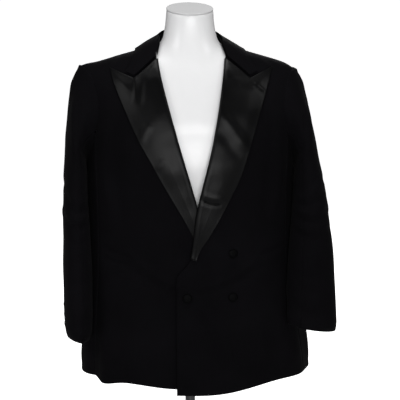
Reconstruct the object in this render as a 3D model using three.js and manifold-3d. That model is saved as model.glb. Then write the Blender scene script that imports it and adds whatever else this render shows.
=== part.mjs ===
// Double-breasted tuxedo jacket with satin peak lapels, worn by a limbless dress form on a plain stand.
// Millimetres, +Z up, front towards -Y. The origin is the middle of the stand's underside.
import * as THREE from 'three'
import { mergeVertices } from 'three/addons/utils/BufferGeometryUtils.js'
import Module from 'manifold-3d'

const wasm = await Module()
wasm.setup()

// Driving dimensions
const CLOTH = 2
const SATIN = 1.6
const SEAM = 0.3
const CHEST_Z = 640
const SHOULDER_TOP = 919
const SHOULDER_SLOPE = 0.29
const SHOULDER_Y = 8
const SHOULDER_X = 240
const NECK_X = 76
const NECK_DEPTH = 68
const HEM_SIDE = 184
const LAP_DROP = 32
const UNDER_DROP = 19
// The right front hangs in a fold below the side panel: extra length, angle and width in degrees
const FOLD = { drop: 10, angle: -49, width: 10 }
// How far a sleeve keeps off the body's side
const SLEEVE_ROOM = 1.3
const FRONT_ROUND = 2.1
const BACK_ROUND = 2.9
const LAP_LIFT = 5.4
const FRONT_SEAM = 62
const BACK_SEAM = 118
const UNDERARM_TURN = 14
// How far the sleeve's head lies inside the armhole's edge, and beyond it sideways
const HEAD_SINK = 2.5
const HEAD_STEP = [0.9, 2]
// Share of its own oval that each ring of a sleeve has taken on below the head
const OVAL_SHARES = [0, 0.35, 0.7, 0.92]
const ROLL_TOP = 868
const NOTCH = [123, 829]
const NOTCH_SHARE = 0.5
const PEAK = [173, 850]
const COLLAR_CORNER = [141, 839]
const COLLAR_BACK = 872
const LEAF_X = 118
// Share of the collar's half length at which it passes the shoulder seam
const NECK_POINT = 0.6
// Rise of the collar's fold over its seat, behind and at the roll's top, and its lean towards the neck
const COLLAR_RISE = [37, 2.6]
const COLLAR_LEAN = 8
// How far the collar's stand lies inside the leaf and below its fold
const STAND_INSET = 2.4
const STAND_DROP = 2.2
const BUTTON = { radius: 10, height: 4.4, shank: 3.4 }
const CUFF_BUTTON = { radius: 7.5, height: 3.4, shank: 2.6 }
const BASE = { radius: 150, height: 8 }
const POLE_RADIUS = 11
const FORM_BOTTOM = 188
const REST_GAP = 0.3
const SHANK_GAP = 0.7

// Level curves of the body: height, half width, front depth, back depth, squareness, sideways shift
const LEVELS = [
  [150, 257, 136, 124, 2.5, 14],
  [240, 252, 134, 121, 2.45, 11],
  [340, 238, 129, 116, 2.4, 6],
  [440, 227, 124, 110, 2.3, 2],
  [540, 226, 125, 113, 2.3, 0],
  [640, 228, 127, 119, 2.35, 0],
]
const LEVEL = { width: 1, front: 2, back: 3, square: 4, shift: 5 }

// Armhole edge: turn of the shoulder in degrees, distance from the middle in front and behind
const ARMHOLE = [
  [14, 207, 207],
  [30, 199, 203],
  [50, 207, 211],
  [70, 222, 225],
  [90, 240, 240],
]

// Inner edge of each front, as height and distance towards its own side
const LAP_EDGE = [[140, -38], [405, -38], [424, -34], [438, -14], [455, -5], [500, 2], [550, 8], [700, 45],
  [850, 71], [900, 76.5]]
const UNDER_EDGE = [[140, -38], [415, -38], [450, -32], [500, -19], [550, -6], [600, 8], [700, 37], [800, 63],
  [855, 74], [900, 76]]

// Outer edge of each lapel, as height and distance towards its own side
const LAP_OUTLINE = [[452, -1], [462, 6], [476, 15], [495, 28], [534, 52], [572, 73], [621, 98], [685, 120],
  [760, 144], [802, 158], [850, 173]]
const UNDER_OUTLINE = [[454, -18], [486, -3], [524, 16], [562, 38], [610, 66], [662, 94], [693, 112], [766, 145],
  [827, 168], [850, 173]]

// Sleeves: outer point, inner point, depth of the middle, half depth, as the sleeve hangs on each side
const SLEEVES = {
  right: [
    [240, 852, 228, 640, 5, 70],
    [251, 826, 226, 634, 2, 73],
    [258, 796, 225, 627, -1, 75],
    [263, 757, 224, 617, -5, 75],
    [268, 712, 224, 600, -9, 74],
    [272, 660, 221, 572, -14, 72],
    [275, 602, 218, 532, -21, 70],
    [277, 538, 216, 482, -30, 68],
    [278, 470, 215, 426, -42, 66],
    [278, 400, 215, 370, -54, 64],
    [277, 335, 216, 318, -65, 62],
    [275, 276, 218, 266, -74, 60],
  ],
  left: [
    [240, 852, 228, 640, 5, 70],
    [247, 822, 226, 634, 2, 73],
    [254, 788, 225, 627, -1, 75],
    [262, 750, 224, 617, -6, 74],
    [270, 706, 222, 600, -12, 72],
    [279, 656, 219, 575, -20, 69],
    [289, 606, 216, 540, -30, 66],
    [298, 550, 212, 498, -42, 62],
    [304, 490, 207, 450, -54, 58],
    [309, 428, 203, 400, -66, 55],
    [312, 356, 199, 350, -77, 52],
    [315, 280, 196, 300, -86, 50],
  ],
}
const SLEEVE_COLUMNS = 28

// Level curves of the dress form below the chest: height, half width, front depth, back depth
const FORM_LEVELS = [
  [188, 172, 104, 96],
  [260, 184, 110, 104],
  [340, 178, 108, 100],
  [440, 168, 104, 92],
  [540, 184, 111, 100],
  [640, 203, 117, 109],
]
const FORM_TIP = 234
const FORM_EASE = 2.6
// Neck of the form: height, half width, front depth, back depth
const NECK = [
  [850, 84, 68, 70],
  [872, 75, 62, 66],
  [890, 66.5, 57, 62.5],
  [905, 61, 53, 60.5],
  [925, 56.5, 50.5, 58],
  [950, 53, 49, 56],
  [974, 50.5, 48, 52],
]
const NECK_SLANT = 0.23

const radians = THREE.MathUtils.degToRad
const lerp = THREE.MathUtils.lerp
const clamp = THREE.MathUtils.clamp
const smooth = (from, to, x) => THREE.MathUtils.smoothstep(x, from, to)
const power = (value, exponent) => Math.sign(value) * Math.abs(value) ** exponent

// Smooth value of one column of a table whose first column rises
function read(table, column, at) {
  const last = table.length - 1
  const x = clamp(at, table[0][0], table[last][0])
  let i = 0
  while (i < last - 1 && x > table[i + 1][0]) i++
  const slope = (k) => {
    const a = table[Math.max(k - 1, 0)]
    const b = table[Math.min(k + 1, last)]
    return (b[column] - a[column]) / (b[0] - a[0])
  }
  const [low, high] = [table[i], table[i + 1]]
  const span = high[0] - low[0]
  const t = (x - low[0]) / span
  const [t2, t3] = [t * t, t * t * t]
  return (2 * t3 - 3 * t2 + 1) * low[column] + (t3 - 2 * t2 + t) * span * slope(i)
    + (3 * t2 - 2 * t3) * high[column] + (t3 - t2) * span * slope(i + 1)
}

// Height of the hem round the body: the front lap hangs lowest
function hemHeight(angle, lap) {
  const front = Math.max(Math.cos(radians(angle)), 0)
  const back = Math.max(-Math.cos(radians(angle)), 0)
  const inward = Math.max(angle - FOLD.angle, 0) / FOLD.width
  const fold = FOLD.drop * Math.exp(-inward * inward) * smooth(FOLD.angle - 11, FOLD.angle - 2, angle)
  return HEM_SIDE - (lap ? LAP_DROP : UNDER_DROP) * front ** 8 - 6 * back - fold
}

// Soft upright folds of the skirt, deepest at the hem
function skirtFold(angle, z) {
  const depth = 1 - smooth(190, 430, z)
  const crest = (at, width, height) => height * Math.exp(-(((angle - at) / width) ** 2))
  return depth * (crest(-48, 7, 10) - crest(-60, 7, 8) + crest(50, 12, 8) - crest(72, 12, 5)
    + crest(150, 14, 4) + crest(-148, 16, 4))
}

// A point of the jacket's outer face: angle from the front in degrees (+ towards +X), level 0 hem to 1
// chest to 2 shoulder seam
function skin(angle, level, lap = false) {
  const s = Math.sin(radians(angle))
  const c = Math.cos(radians(angle))
  if (level <= 1) {
    const z = lerp(hemHeight(angle, lap), CHEST_Z, level)
    const bend = 2 / read(LEVELS, LEVEL.square, z)
    const depth = read(LEVELS, c > 0 ? LEVEL.front : LEVEL.back, z)
    const p = new THREE.Vector3(read(LEVELS, LEVEL.width, z) * power(s, bend), -depth * power(c, bend), z)
    const out = new THREE.Vector3(s * 0.8, -c, 0).normalize()
    p.addScaledVector(out, skirtFold(angle, z))
    p.x += read(LEVELS, LEVEL.shift, z)
    p.y += SHOULDER_Y * smooth(0.6, 1, level) * Math.abs(s) ** 4
    return p
  }
  const turn = radians((level - 1) * 90)
  const chest = LEVELS[LEVELS.length - 1]
  const bend = 2 / chest[LEVEL.square]
  const round = 2 / (c > 0 ? FRONT_ROUND : BACK_ROUND)
  const up = Math.sin(turn) ** round
  const depth = Math.max(Math.cos(turn), 0) ** round
  const x = lerp(chest[LEVEL.width], SHOULDER_X + 10, up * up) * power(s, bend)
  const y = c > 0 ? -chest[LEVEL.front] * power(c, bend) : -chest[LEVEL.back] * power(c, bend)
  const seam = lerp(SHOULDER_Y * Math.abs(s) ** 4, SHOULDER_Y, up)
  const z = CHEST_Z + (SHOULDER_TOP - CHEST_Z) * up - SHOULDER_SLOPE * Math.abs(x) * up * up
  return new THREE.Vector3(x, seam + y * depth, z)
}

function skinNormal(angle, level, lap = false) {
  const step = 0.02
  const [a, b] = [skin(angle + step * 10, level, lap), skin(angle - step * 10, level, lap)]
  const high = Math.min(level + step, 1.995)
  const low = Math.max(level - step, 0)
  const along = skin(angle, high, lap).sub(skin(angle, low, lap))
  return a.sub(b).cross(along).normalize()
}

// How far the overlapping front stands off the one beneath
const lapLift = ({ x, z }) => LAP_LIFT * (1 - smooth(42, 100, x)) * (1 - smooth(580, 720, z))

function onSkin(angle, level, height, lap = false) {
  const p = skin(angle, level, lap)
  const extra = lap ? lapLift(p) : 0
  return p.addScaledVector(skinNormal(angle, level, lap), height + extra)
}

// Level of the front or back face at a height, at a distance from the middle
function levelAt(x, z, back = false) {
  if (z <= CHEST_Z) {
    const angle = angleAt(x, 0.5, back)
    const hem = hemHeight(angle, false)
    return (z - hem) / (CHEST_Z - hem)
  }
  const rise = SHOULDER_TOP - CHEST_Z
  const fall = Math.max(SHOULDER_SLOPE * Math.abs(x), 1e-6)
  const root = Math.max(rise * rise - 4 * fall * (z - CHEST_Z), 0)
  const up = clamp((rise - Math.sqrt(root)) / (2 * fall), 0, 1)
  const round = 2 / (back ? BACK_ROUND : FRONT_ROUND)
  return 1 + Math.asin(up ** (1 / round)) / radians(90)
}

// Angle at which a level curve passes a distance from the middle
function angleAt(x, level, back = false) {
  let [low, high] = [-89.9, 89.9]
  for (let i = 0; i < 40; i++) {
    const middle = (low + high) / 2
    const p = skin(back ? 180 - middle : middle, level)
    if (p.x < x) low = middle
    else high = middle
  }
  return back ? 180 - low : low
}

const frontPlace = (x, z) => {
  const level = levelAt(x, z)
  return [angleAt(x, level), level]
}

// A closed slab between two faces of a grid of middle points
function slab(grid, thickness, normals) {
  const [rows, columns] = [grid.length, grid[0].length]
  const at = (i, j) => grid[clamp(i, 0, rows - 1)][clamp(j, 0, columns - 1)]
  const faces = [[], []]
  for (let i = 0; i < rows; i++) {
    for (let j = 0; j < columns; j++) {
      const normal = normals ? normals[i][j]
        : at(i, j + 1).clone().sub(at(i, j - 1)).cross(at(i + 1, j).clone().sub(at(i - 1, j))).normalize()
      faces[0].push(grid[i][j].clone().addScaledVector(normal, thickness / 2))
      faces[1].push(grid[i][j].clone().addScaledVector(normal, -thickness / 2))
    }
  }
  const count = rows * columns
  const points = [...faces[0], ...faces[1]]
  const triangles = []
  const quad = (a, b, c, d) => triangles.push(a, b, c, a, c, d)
  const id = (i, j) => i * columns + j
  for (let i = 0; i + 1 < rows; i++) {
    for (let j = 0; j + 1 < columns; j++) {
      const [a, b, c, d] = [id(i, j), id(i, j + 1), id(i + 1, j + 1), id(i + 1, j)]
      quad(a, b, c, d)
      quad(a + count, d + count, c + count, b + count)
    }
  }
  const rim = []
  for (let j = 0; j < columns; j++) rim.push(id(0, j))
  for (let i = 1; i < rows; i++) rim.push(id(i, columns - 1))
  for (let j = columns - 2; j >= 0; j--) rim.push(id(rows - 1, j))
  for (let i = rows - 2; i > 0; i--) rim.push(id(i, 0))
  rim.forEach((a, k) => {
    const b = rim[(k + 1) % rim.length]
    quad(b, a, a + count, b + count)
  })
  return closed(points, triangles)
}

// A geometry from points and triangles, with its faces pointing out
function closed(points, triangles) {
  let volume = 0
  for (let k = 0; k < triangles.length; k += 3) {
    const [a, b, c] = [0, 1, 2].map((i) => points[triangles[k + i]])
    volume += a.dot(b.clone().cross(c))
  }
  const order = volume < 0 ? [...triangles].reverse() : triangles
  const geometry = new THREE.BufferGeometry()
  geometry.setAttribute('position', new THREE.Float32BufferAttribute(points.flatMap((p) => p.toArray()), 3))
  geometry.setIndex(order)
  return geometry
}

// A panel of the body between two edges, given as angles at a level
function panel(levels, columns, angleOf, lap = false, levelOf = (level) => level) {
  const [grid, normals] = [[], []]
  for (const level of levels) {
    const [row, rowNormals] = [[], []]
    for (let j = 0; j <= columns; j++) {
      const height = levelOf(level, j / columns)
      const angle = angleOf(height, j / columns)
      row.push(onSkin(angle, height, -CLOTH / 2, lap))
      rowNormals.push(skinNormal(angle, height, lap))
    }
    grid.push(row)
    normals.push(rowNormals)
  }
  return slab(grid, CLOTH, normals)
}

const LOW_LEVELS = [0, 0.06, 0.13, 0.21, 0.29, 0.37, 0.45, 0.5, 0.535, 0.565, 0.595, 0.63, 0.68, 0.74, 0.81, 0.87,
  0.94, 1]
const TURNS = [7, 14, 24, 36, 48, 59, 68, 76, 82, 86, 88.6, 90]
const TURN_LEVELS = TURNS.map((turn) => 1 + turn / 90)
const UNDERARM = 1 + UNDERARM_TURN / 90
// Half a seam's gap, as an angle at the side of the body
const SEAM_TURN = SEAM / 4.4

// The armhole's edge on the front or back, as an angle at a level
function armholeAngle(level, back) {
  const x = read(ARMHOLE, back ? 2 : 1, (level - 1) * 90)
  return angleAt(x, Math.min(level, 1.999), back)
}

// Outer edge of a front or back: the side seam, then the armhole
function outerAngle(level, back) {
  const seam = back ? BACK_SEAM : FRONT_SEAM
  if (level <= UNDERARM) {
    const edge = armholeAngle(UNDERARM, back)
    return lerp(seam, edge, smooth(0.8, UNDERARM, level))
  }
  return armholeAngle(level, back)
}

function frontPanel(side, edge, lap) {
  const levels = [...LOW_LEVELS, ...TURN_LEVELS]
  levels[levels.length - 1] -= 0.0008
  return panel(levels, 10, (level, u) => {
    const z = skin(side * 20, Math.min(level, 1.999), lap).z
    const inner = angleAt(side * read(edge, 1, z), Math.min(level, 1.999))
    const outer = side * (outerAngle(Math.min(level, 1.999), false) - SEAM_TURN)
    return lerp(inner, outer, u ** 0.9)
  }, lap)
}

// Level at which the back's column at a distance from the middle meets the neckline's round
function neckLevel(x) {
  const y = SHOULDER_Y + NECK_DEPTH * Math.sqrt(Math.max(1 - (x / NECK_X) ** 2, 0))
  let [low, high] = [1.2, 1.9992]
  for (let i = 0; i < 30; i++) {
    const middle = (low + high) / 2
    if (skin(angleAt(x, middle, true), middle).y > y) low = middle
    else high = middle
  }
  return low
}

// Shares of the back's width at its columns, one of them at the neck point
const BACK_SHARES = [0, 0.11, 0.2, 0.262, 0.3, NECK_X / SHOULDER_X, 0.45, 0.59, 0.725, 0.865, 1]

function backPanel(side) {
  const columns = BACK_SHARES.length - 1
  return panel([...LOW_LEVELS, ...TURN_LEVELS], columns, (level, u) => {
    const height = Math.min(level, 1.999)
    const share = BACK_SHARES[Math.round(u * columns)]
    const middle = side * read(LEVELS, LEVEL.shift, skin(180, height).z)
    const outer = outerAngle(height, true) + SEAM_TURN
    const edge = skin(side * outer, height).x * side
    const x = lerp(middle + SEAM / 2, edge, share)
    const angle = angleAt(side * x, height, true)
    if (share === 1) return side * outer
    return angle > 180 ? angle - 360 : angle
  }, false, (level, u) => {
    if (level <= 1) return level
    const x = BACK_SHARES[Math.round(u * columns)] * SHOULDER_X
    const top = x < NECK_X ? neckLevel(x) : 1.9992
    return 1 + (level - 1) * (top - 1)
  })
}

// The underarm panel, with the armhole's hollow curve on top
function sidePanel(side) {
  const levels = [...LOW_LEVELS, ...TURN_LEVELS.slice(0, 2)]
  return panel(levels, 8, (level, u) => {
    const edge = Math.min(level, UNDERARM)
    return side * lerp(outerAngle(edge, false) + SEAM_TURN, outerAngle(edge, true) - SEAM_TURN, u)
  }, false, (level, u) => {
    const top = lerp(1, UNDERARM, (2 * u - 1) ** 2)
    const start = 0.81
    return level < start ? level : start + (level - start) * (top - start) / (UNDERARM - start)
  })
}

// A lapel turned back from the roll line: rows climb it, columns cross it from the roll outwards
function lapel(side, edge, outline, lap) {
  const rows = 22
  const roll = [[-2.8, -1.3], [-3.5, 0.5], [-2.5, 2.5], [1.2, 3.9], [6, 3.9]]
  const across = [0.14, 0.26, 0.38, NOTCH_SHARE, 0.66, 0.83, 1]
  const bottom = outline[0][0]
  const grid = []
  for (let i = 0; i <= rows; i++) {
    const up = i / rows
    const rollZ = lerp(bottom + 2, ROLL_TOP, up ** 0.95)
    const outerZ = lerp(bottom, PEAK[1], up)
    const rollX = read(edge, 1, rollZ)
    const outerX = read(outline, 1, outerZ)
    const width = Math.hypot(outerX - rollX, outerZ - rollZ)
    const scale = Math.min(1, width / 26)
    const row = []
    const bend = smooth(0.72, 1, up) ** 1.6
    const place = (share, height) => {
      const x = lerp(rollX, outerX, share)
      let z = lerp(rollZ, outerZ, share)
      const straight = lerp(ROLL_TOP, PEAK[1], NOTCH_SHARE)
      const dip = share < NOTCH_SHARE ? share / NOTCH_SHARE : (1 - share) / (1 - NOTCH_SHARE)
      z -= bend * (straight - NOTCH[1]) * Math.max(dip, 0)
      const [angle, level] = frontPlace(side * x, z)
      return onSkin(angle, level, height, lap)
    }
    const flat = lap ? lerp(0.75, 1, scale) : lerp(0.55, 1, smooth(540, 620, rollZ))
    for (const [out, height] of roll) row.push(place(out * Math.max(scale, 0.8) / width, height * flat))
    for (const share of across) {
      const height = 2 + 1.8 * (1 - smooth(0, 0.5, share)) * (lap ? scale : 2 * flat - 1)
      row.push(place(Math.max(share, (6.5 + 4 * share) / width), height))
    }
    grid.push(row)
  }
  return slab(grid, SATIN)
}

// Line of the collar's seat round the neck, from the roll's top on -X over the back to +X
function necklinePlace(w) {
  const side = Math.sign(w) || 1
  const t = Math.abs(w)
  if (t > NECK_POINT) {
    const z = lerp(SHOULDER_TOP - SHOULDER_SLOPE * NECK_X, ROLL_TOP, (t - NECK_POINT) / (1 - NECK_POINT))
    const level = Math.min(levelAt(NECK_X, z), 1.999)
    return [side * angleAt(NECK_X, level), level]
  }
  const x = NECK_X * Math.sin(radians(90 * t / NECK_POINT))
  const level = neckLevel(x)
  return [side * angleAt(x, level, true), level]
}

// Outer edge of the collar's leaf
function leafPlace(w) {
  const side = Math.sign(w) || 1
  const t = Math.abs(w)
  const seamZ = (x) => SHOULDER_TOP - SHOULDER_SLOPE * x - 0.05
  if (t > NECK_POINT) {
    const s = (t - NECK_POINT) / (1 - NECK_POINT)
    const x = lerp(LEAF_X, COLLAR_CORNER[0], s ** 1.3)
    const level = Math.min(levelAt(x, lerp(seamZ(x), COLLAR_CORNER[1], s)), 1.999)
    return [side * angleAt(x, level), level]
  }
  const turn = radians(90 * t / NECK_POINT)
  const x = LEAF_X * Math.sin(turn)
  const level = Math.min(levelAt(x, lerp(seamZ(x), COLLAR_BACK, Math.cos(turn) ** 2), true), 1.999)
  return [side * angleAt(x, level, true), level]
}

// Height of the collar's fold over its seat
const foldRise = (w) => lerp(...COLLAR_RISE, smooth(0, 1, Math.abs(w)) ** 0.9)

const COLLAR_STEPS = 32

function seatPoint(w, height) {
  const [angle, level] = necklinePlace(w)
  return onSkin(angle, level, height)
}

// The fold leans in towards the neck as it goes round the back
function foldPoint(w) {
  const t = Math.abs(w)
  const seat = seatPoint(w, 1)
  const aside = COLLAR_LEAN * smooth(0, 0.5, t) * (1 - smooth(0.6, 1, t))
  const lean = new THREE.Vector3(-Math.sign(w) * aside, 1 - t, 0)
  return seat.add(lean).add(new THREE.Vector3(0, 0, foldRise(w)))
}

function collarLeaf() {
  const shares = [0, 0.07, 0.2, 0.38, 0.56, 0.72, 0.86, 1]
  const grid = []
  for (let i = 0; i <= COLLAR_STEPS; i++) {
    const w = lerp(-0.995, 0.995, i / COLLAR_STEPS)
    const [seat, edge] = [necklinePlace(w), leafPlace(w)]
    const fold = foldPoint(w)
    const rise = fold.clone().sub(seatPoint(w, 1.2))
    const t = Math.abs(w)
    const front = smooth(0.82, 1, t)
    grid.push(shares.map((share) => {
      let [angle, level] = [lerp(seat[0], edge[0], share), lerp(seat[1], edge[1], share)]
      if (t > NECK_POINT) {
        const [a, b] = [skin(seat[0], seat[1]), skin(edge[0], edge[1])]
        const x = lerp(a.x, b.x, share)
        const notchShare = (NOTCH[0] - NECK_X) / (COLLAR_CORNER[0] - NECK_X)
        const dip = share < notchShare ? share / notchShare : (1 - share) / (1 - notchShare)
        const straight = lerp(ROLL_TOP, COLLAR_CORNER[1], notchShare)
        const z = lerp(a.z, b.z, share) - front * (straight - NOTCH[1] - 1.2) * dip + 3.2 * front
        const place = [angleAt(x, Math.min(levelAt(x, z), 1.999)), Math.min(levelAt(x, z), 1.999)]
        angle = place[0]
        level = place[1]
      }
      const over = onSkin(angle, level, 2.7 + 3 * share * (1 - share))
      return over.addScaledVector(rise, (1 - share) ** 2.2)
    }))
  }
  return slab(grid, CLOTH * 0.8)
}

function collarStand() {
  const grid = []
  for (let i = 0; i <= COLLAR_STEPS; i++) {
    const w = lerp(-0.9, 0.9, i / COLLAR_STEPS)
    const low = seatPoint(w, 1.6)
    const high = foldPoint(w)
    const turn = radians(90 * Math.min(Math.abs(w) / 0.5, 1))
    const inward = new THREE.Vector3(-Math.sign(w) * Math.sin(turn), -Math.cos(turn), 0)
    low.addScaledVector(inward, STAND_INSET)
    high.addScaledVector(inward, STAND_INSET)
    high.z -= STAND_DROP
    grid.push([0, 0.5, 1].map((u) => low.clone().lerp(high, u)))
  }
  return slab(grid, CLOTH * 0.8)
}

// Points round the armhole: top, front, underarm, back, evenly spaced
function armholeLoop(side, count) {
  const dense = []
  for (let turn = 90; turn >= UNDERARM_TURN; turn -= 2) {
    const level = Math.min(1 + turn / 90, 1.999)
    dense.push(skin(side * armholeAngle(level, false), level))
  }
  for (let u = 0; u <= 1.0001; u += 0.04) {
    const front = armholeAngle(UNDERARM, false)
    const back = armholeAngle(UNDERARM, true)
    dense.push(skin(side * lerp(front, back, u), lerp(1, UNDERARM, (2 * u - 1) ** 2)))
  }
  for (let turn = UNDERARM_TURN; turn < 90; turn += 2) {
    const level = 1 + turn / 90
    dense.push(skin(side * armholeAngle(level, true), level))
  }
  const curve = new THREE.CatmullRomCurve3(dense, true)
  curve.arcLengthDivisions = 800
  return curve.getSpacedPoints(count).slice(0, count)
}

// Rings of a sleeve from the armhole to the cuff
function sleeveRings(side, table) {
  const loop = armholeLoop(side, SLEEVE_COLUMNS)
  const middle = loop.reduce((sum, p) => sum.add(p), new THREE.Vector3()).divideScalar(loop.length)
  const [headX, headZ, , underZ] = table[0]
  return table.map(([outX, outZ, inX, inZ, midY, halfY], k) => {
    const blend = OVAL_SHARES[k] ?? 1
    const centre = new THREE.Vector3(side * (outX + inX) / 2, midY, (outZ + inZ) / 2)
    const reach = new THREE.Vector3(side * (outX - inX) / 2, 0, (outZ - inZ) / 2)
    return loop.map((p, j) => {
      const turn = radians(360 * j / SLEEVE_COLUMNS)
      const oval = centre.clone().addScaledVector(reach, Math.cos(turn))
        .add(new THREE.Vector3(0, -halfY * Math.sin(turn), 0))
      const inward = middle.clone().sub(p).normalize()
      const fall = (outZ - headZ) * Math.max(Math.cos(turn), 0) + (inZ - underZ) * Math.max(-Math.cos(turn), 0)
      const moved = p.clone().addScaledVector(inward, HEAD_SINK)
        .add(new THREE.Vector3(side * (outX - headX + HEAD_STEP[k ? 1 : 0]), 0, fall))
      return clearOfBody(moved.lerp(oval, blend), side, k)
    })
  })
}

// Pushes a sleeve point out of the body's side
function clearOfBody(p, side, ring) {
  if (p.z > CHEST_Z + 4 || ring === 0) return p
  const z = clamp(p.z, 150, CHEST_Z)
  const square = read(LEVELS, LEVEL.square, z)
  const [width, shift] = [read(LEVELS, LEVEL.width, z), side * read(LEVELS, LEVEL.shift, z)]
  const depth = read(LEVELS, p.y < 0 ? LEVEL.front : LEVEL.back, z)
  const out = side * p.x
  const angle = THREE.MathUtils.radToDeg(Math.atan2((out - shift) / width, -p.y / depth))
  const fold = Math.max(skirtFold(side * angle, z), 0) + SLEEVE_ROOM
  const inside = Math.max(1 - Math.abs(p.y / (depth + fold)) ** square, 0) ** (1 / square)
  const least = shift + (width + fold) * inside + SLEEVE_ROOM
  const [room, blend] = [out - least, 6]
  if (room > blend) return p
  const moved = room < -blend ? least : least + (room + blend) ** 2 / (4 * blend)
  return new THREE.Vector3(side * moved, p.y, p.z)
}

// Outward directions at the points of a sleeve's rings
function ringNormals(rings) {
  return rings.map((ring, i) => ring.map((p, j) => {
    const around = ring[(j + 1) % ring.length].clone().sub(ring[(j + ring.length - 1) % ring.length])
    const along = rings[Math.min(i + 1, rings.length - 1)][j].clone().sub(rings[Math.max(i - 1, 0)][j])
    return around.cross(along).normalize()
  }))
}

// One half of a sleeve, between two of its lengthwise seams
function sleeveHalf(rings, from, to) {
  const shift = 0.035
  const steps = to - from
  const pick = (table) => table.map((ring) => {
    const place = (k) => ring[(k + SLEEVE_COLUMNS) % SLEEVE_COLUMNS]
    const point = (j) => place(Math.floor(j)).clone().lerp(place(Math.floor(j) + 1), j - Math.floor(j))
    return Array.from({ length: steps + 1 }, (_, j) => {
      if (j === 0) return point(from + shift)
      return j === steps ? point(to - shift) : point(from + j)
    })
  })
  const normals = pick(ringNormals(rings)).map((row) => row.map((n) => n.normalize()))
  return slab(pick(rings), CLOTH, normals)
}

// A button: a domed face on a short shank, standing along +Z
function buttonShape({ radius, height, shank }) {
  const profile = [[0, 0], [shank, 0], [shank, 1.2], [radius * 0.82, 1.3], [radius, 2.1], [radius, 2.7],
    [radius * 0.8, height * 0.94], [0, height]]
  const geometry = new THREE.LatheGeometry(profile.map(([r, z]) => new THREE.Vector2(r, z)), 16)
  return geometry.rotateX(Math.PI / 2)
}

// Stands a button on the face that a line along -normal meets first
function seatButton(shape, cloth, point, normal, gap = REST_GAP) {
  const start = point.clone().addScaledVector(normal, 30)
  const mesh = new THREE.Mesh(cloth, new THREE.MeshBasicMaterial({ side: THREE.DoubleSide }))
  const hit = new THREE.Raycaster(start, normal.clone().negate()).intersectObject(mesh)[0]
  const seat = hit.point.addScaledVector(normal, gap)
  const turn = new THREE.Quaternion().setFromUnitVectors(new THREE.Vector3(0, 0, 1), normal)
  return buttonShape(shape).applyQuaternion(turn).translate(seat.x, seat.y, seat.z)
}

function frontButton(cloth, x, z) {
  const [angle] = frontPlace(x, z)
  const hem = hemHeight(angle, true)
  const level = (z - hem) / (CHEST_Z - hem)
  return seatButton(BUTTON, cloth, onSkin(angle, level, 0, true), skinNormal(angle, level, true), SHANK_GAP)
}

// A cuff button beside the back seam of a sleeve, at a height over the cuff
function cuffButton(cloth, rings, height) {
  const column = SLEEVE_COLUMNS - 2
  const last = rings.length - 1
  const [top, low] = [rings[last - 1], rings[last]]
  const share = 1 - height / top[column].distanceTo(low[column])
  const at = (j) => top[j].clone().lerp(low[j], share)
  const across = at(column + 1).sub(at(column - 1))
  const normal = across.cross(low[column].clone().sub(top[column])).normalize()
  if (normal.dot(at(column).sub(at((column + SLEEVE_COLUMNS / 2) % SLEEVE_COLUMNS))) < 0) normal.negate()
  return seatButton(CUFF_BUTTON, cloth, at(column), normal)
}

// A closed body through rings of the same number of points, with flat ends
function loft(rings) {
  const count = rings[0].length
  const points = rings.flat()
  const triangles = []
  for (let i = 0; i + 1 < rings.length; i++) {
    for (let j = 0; j < count; j++) {
      const k = (j + 1) % count
      const [a, b, c, d] = [i * count + j, i * count + k, (i + 1) * count + k, (i + 1) * count + j]
      triangles.push(a, b, c, a, c, d)
    }
  }
  const ends = [rings[0], rings[rings.length - 1]]
  ends.forEach((ring, end) => {
    const middle = ring.reduce((sum, p) => sum.add(p), new THREE.Vector3()).divideScalar(count)
    const hub = points.push(middle) - 1
    const start = end ? (rings.length - 1) * count : 0
    for (let j = 0; j < count; j++) {
      const [a, b] = [start + j, start + ((j + 1) % count)]
      triangles.push(...(end ? [a, b, hub] : [b, a, hub]))
    }
  })
  return closed(points, triangles)
}

function toManifold(geometry) {
  const merged = mergeVertices(geometry, 1e-3)
  return new wasm.Manifold(new wasm.Mesh({
    numProp: 3,
    vertProperties: Float32Array.from(merged.attributes.position.array),
    triVerts: Uint32Array.from(merged.index.array),
  }))
}

function fromManifold(solid) {
  const mesh = solid.getMesh()
  const geometry = new THREE.BufferGeometry()
  geometry.setAttribute('position', new THREE.BufferAttribute(Float32Array.from(mesh.vertProperties), 3))
  geometry.setIndex([...mesh.triVerts])
  return geometry
}

const FORM_COLUMNS = 40

// A point of the form's trunk, on the same kind of level curves as the jacket
function formPoint(angle, z, turn) {
  const s = Math.sin(radians(angle))
  const c = Math.cos(radians(angle))
  const chest = FORM_LEVELS[FORM_LEVELS.length - 1]
  const bend = 2 / 2.3
  if (turn === 0) {
    const depth = read(FORM_LEVELS, c > 0 ? 2 : 3, z)
    const lean = SHOULDER_Y * smooth(440, 640, z) * Math.abs(s) ** 4
    return new THREE.Vector3(read(FORM_LEVELS, 1, z) * power(s, bend), lean - depth * power(c, bend), z)
  }
  const round = 2 / (c > 0 ? FRONT_ROUND : BACK_ROUND)
  const up = Math.sin(radians(turn)) ** round
  const depth = Math.max(Math.cos(radians(turn)), 0) ** round
  const x = lerp(chest[1], FORM_TIP, up * up) * power(s, bend)
  const seam = lerp(SHOULDER_Y * Math.abs(s) ** 4, SHOULDER_Y, up)
  const rise = SHOULDER_TOP - CHEST_Z - FORM_EASE
  const ease = c < 0 ? 2.6 * Math.sqrt(depth) * up : 0
  return new THREE.Vector3(x, seam - (c > 0 ? chest[2] : chest[3]) * power(c, bend) * depth,
    CHEST_Z + rise * up - SHOULDER_SLOPE * Math.abs(x) * up * up - ease)
}

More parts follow.
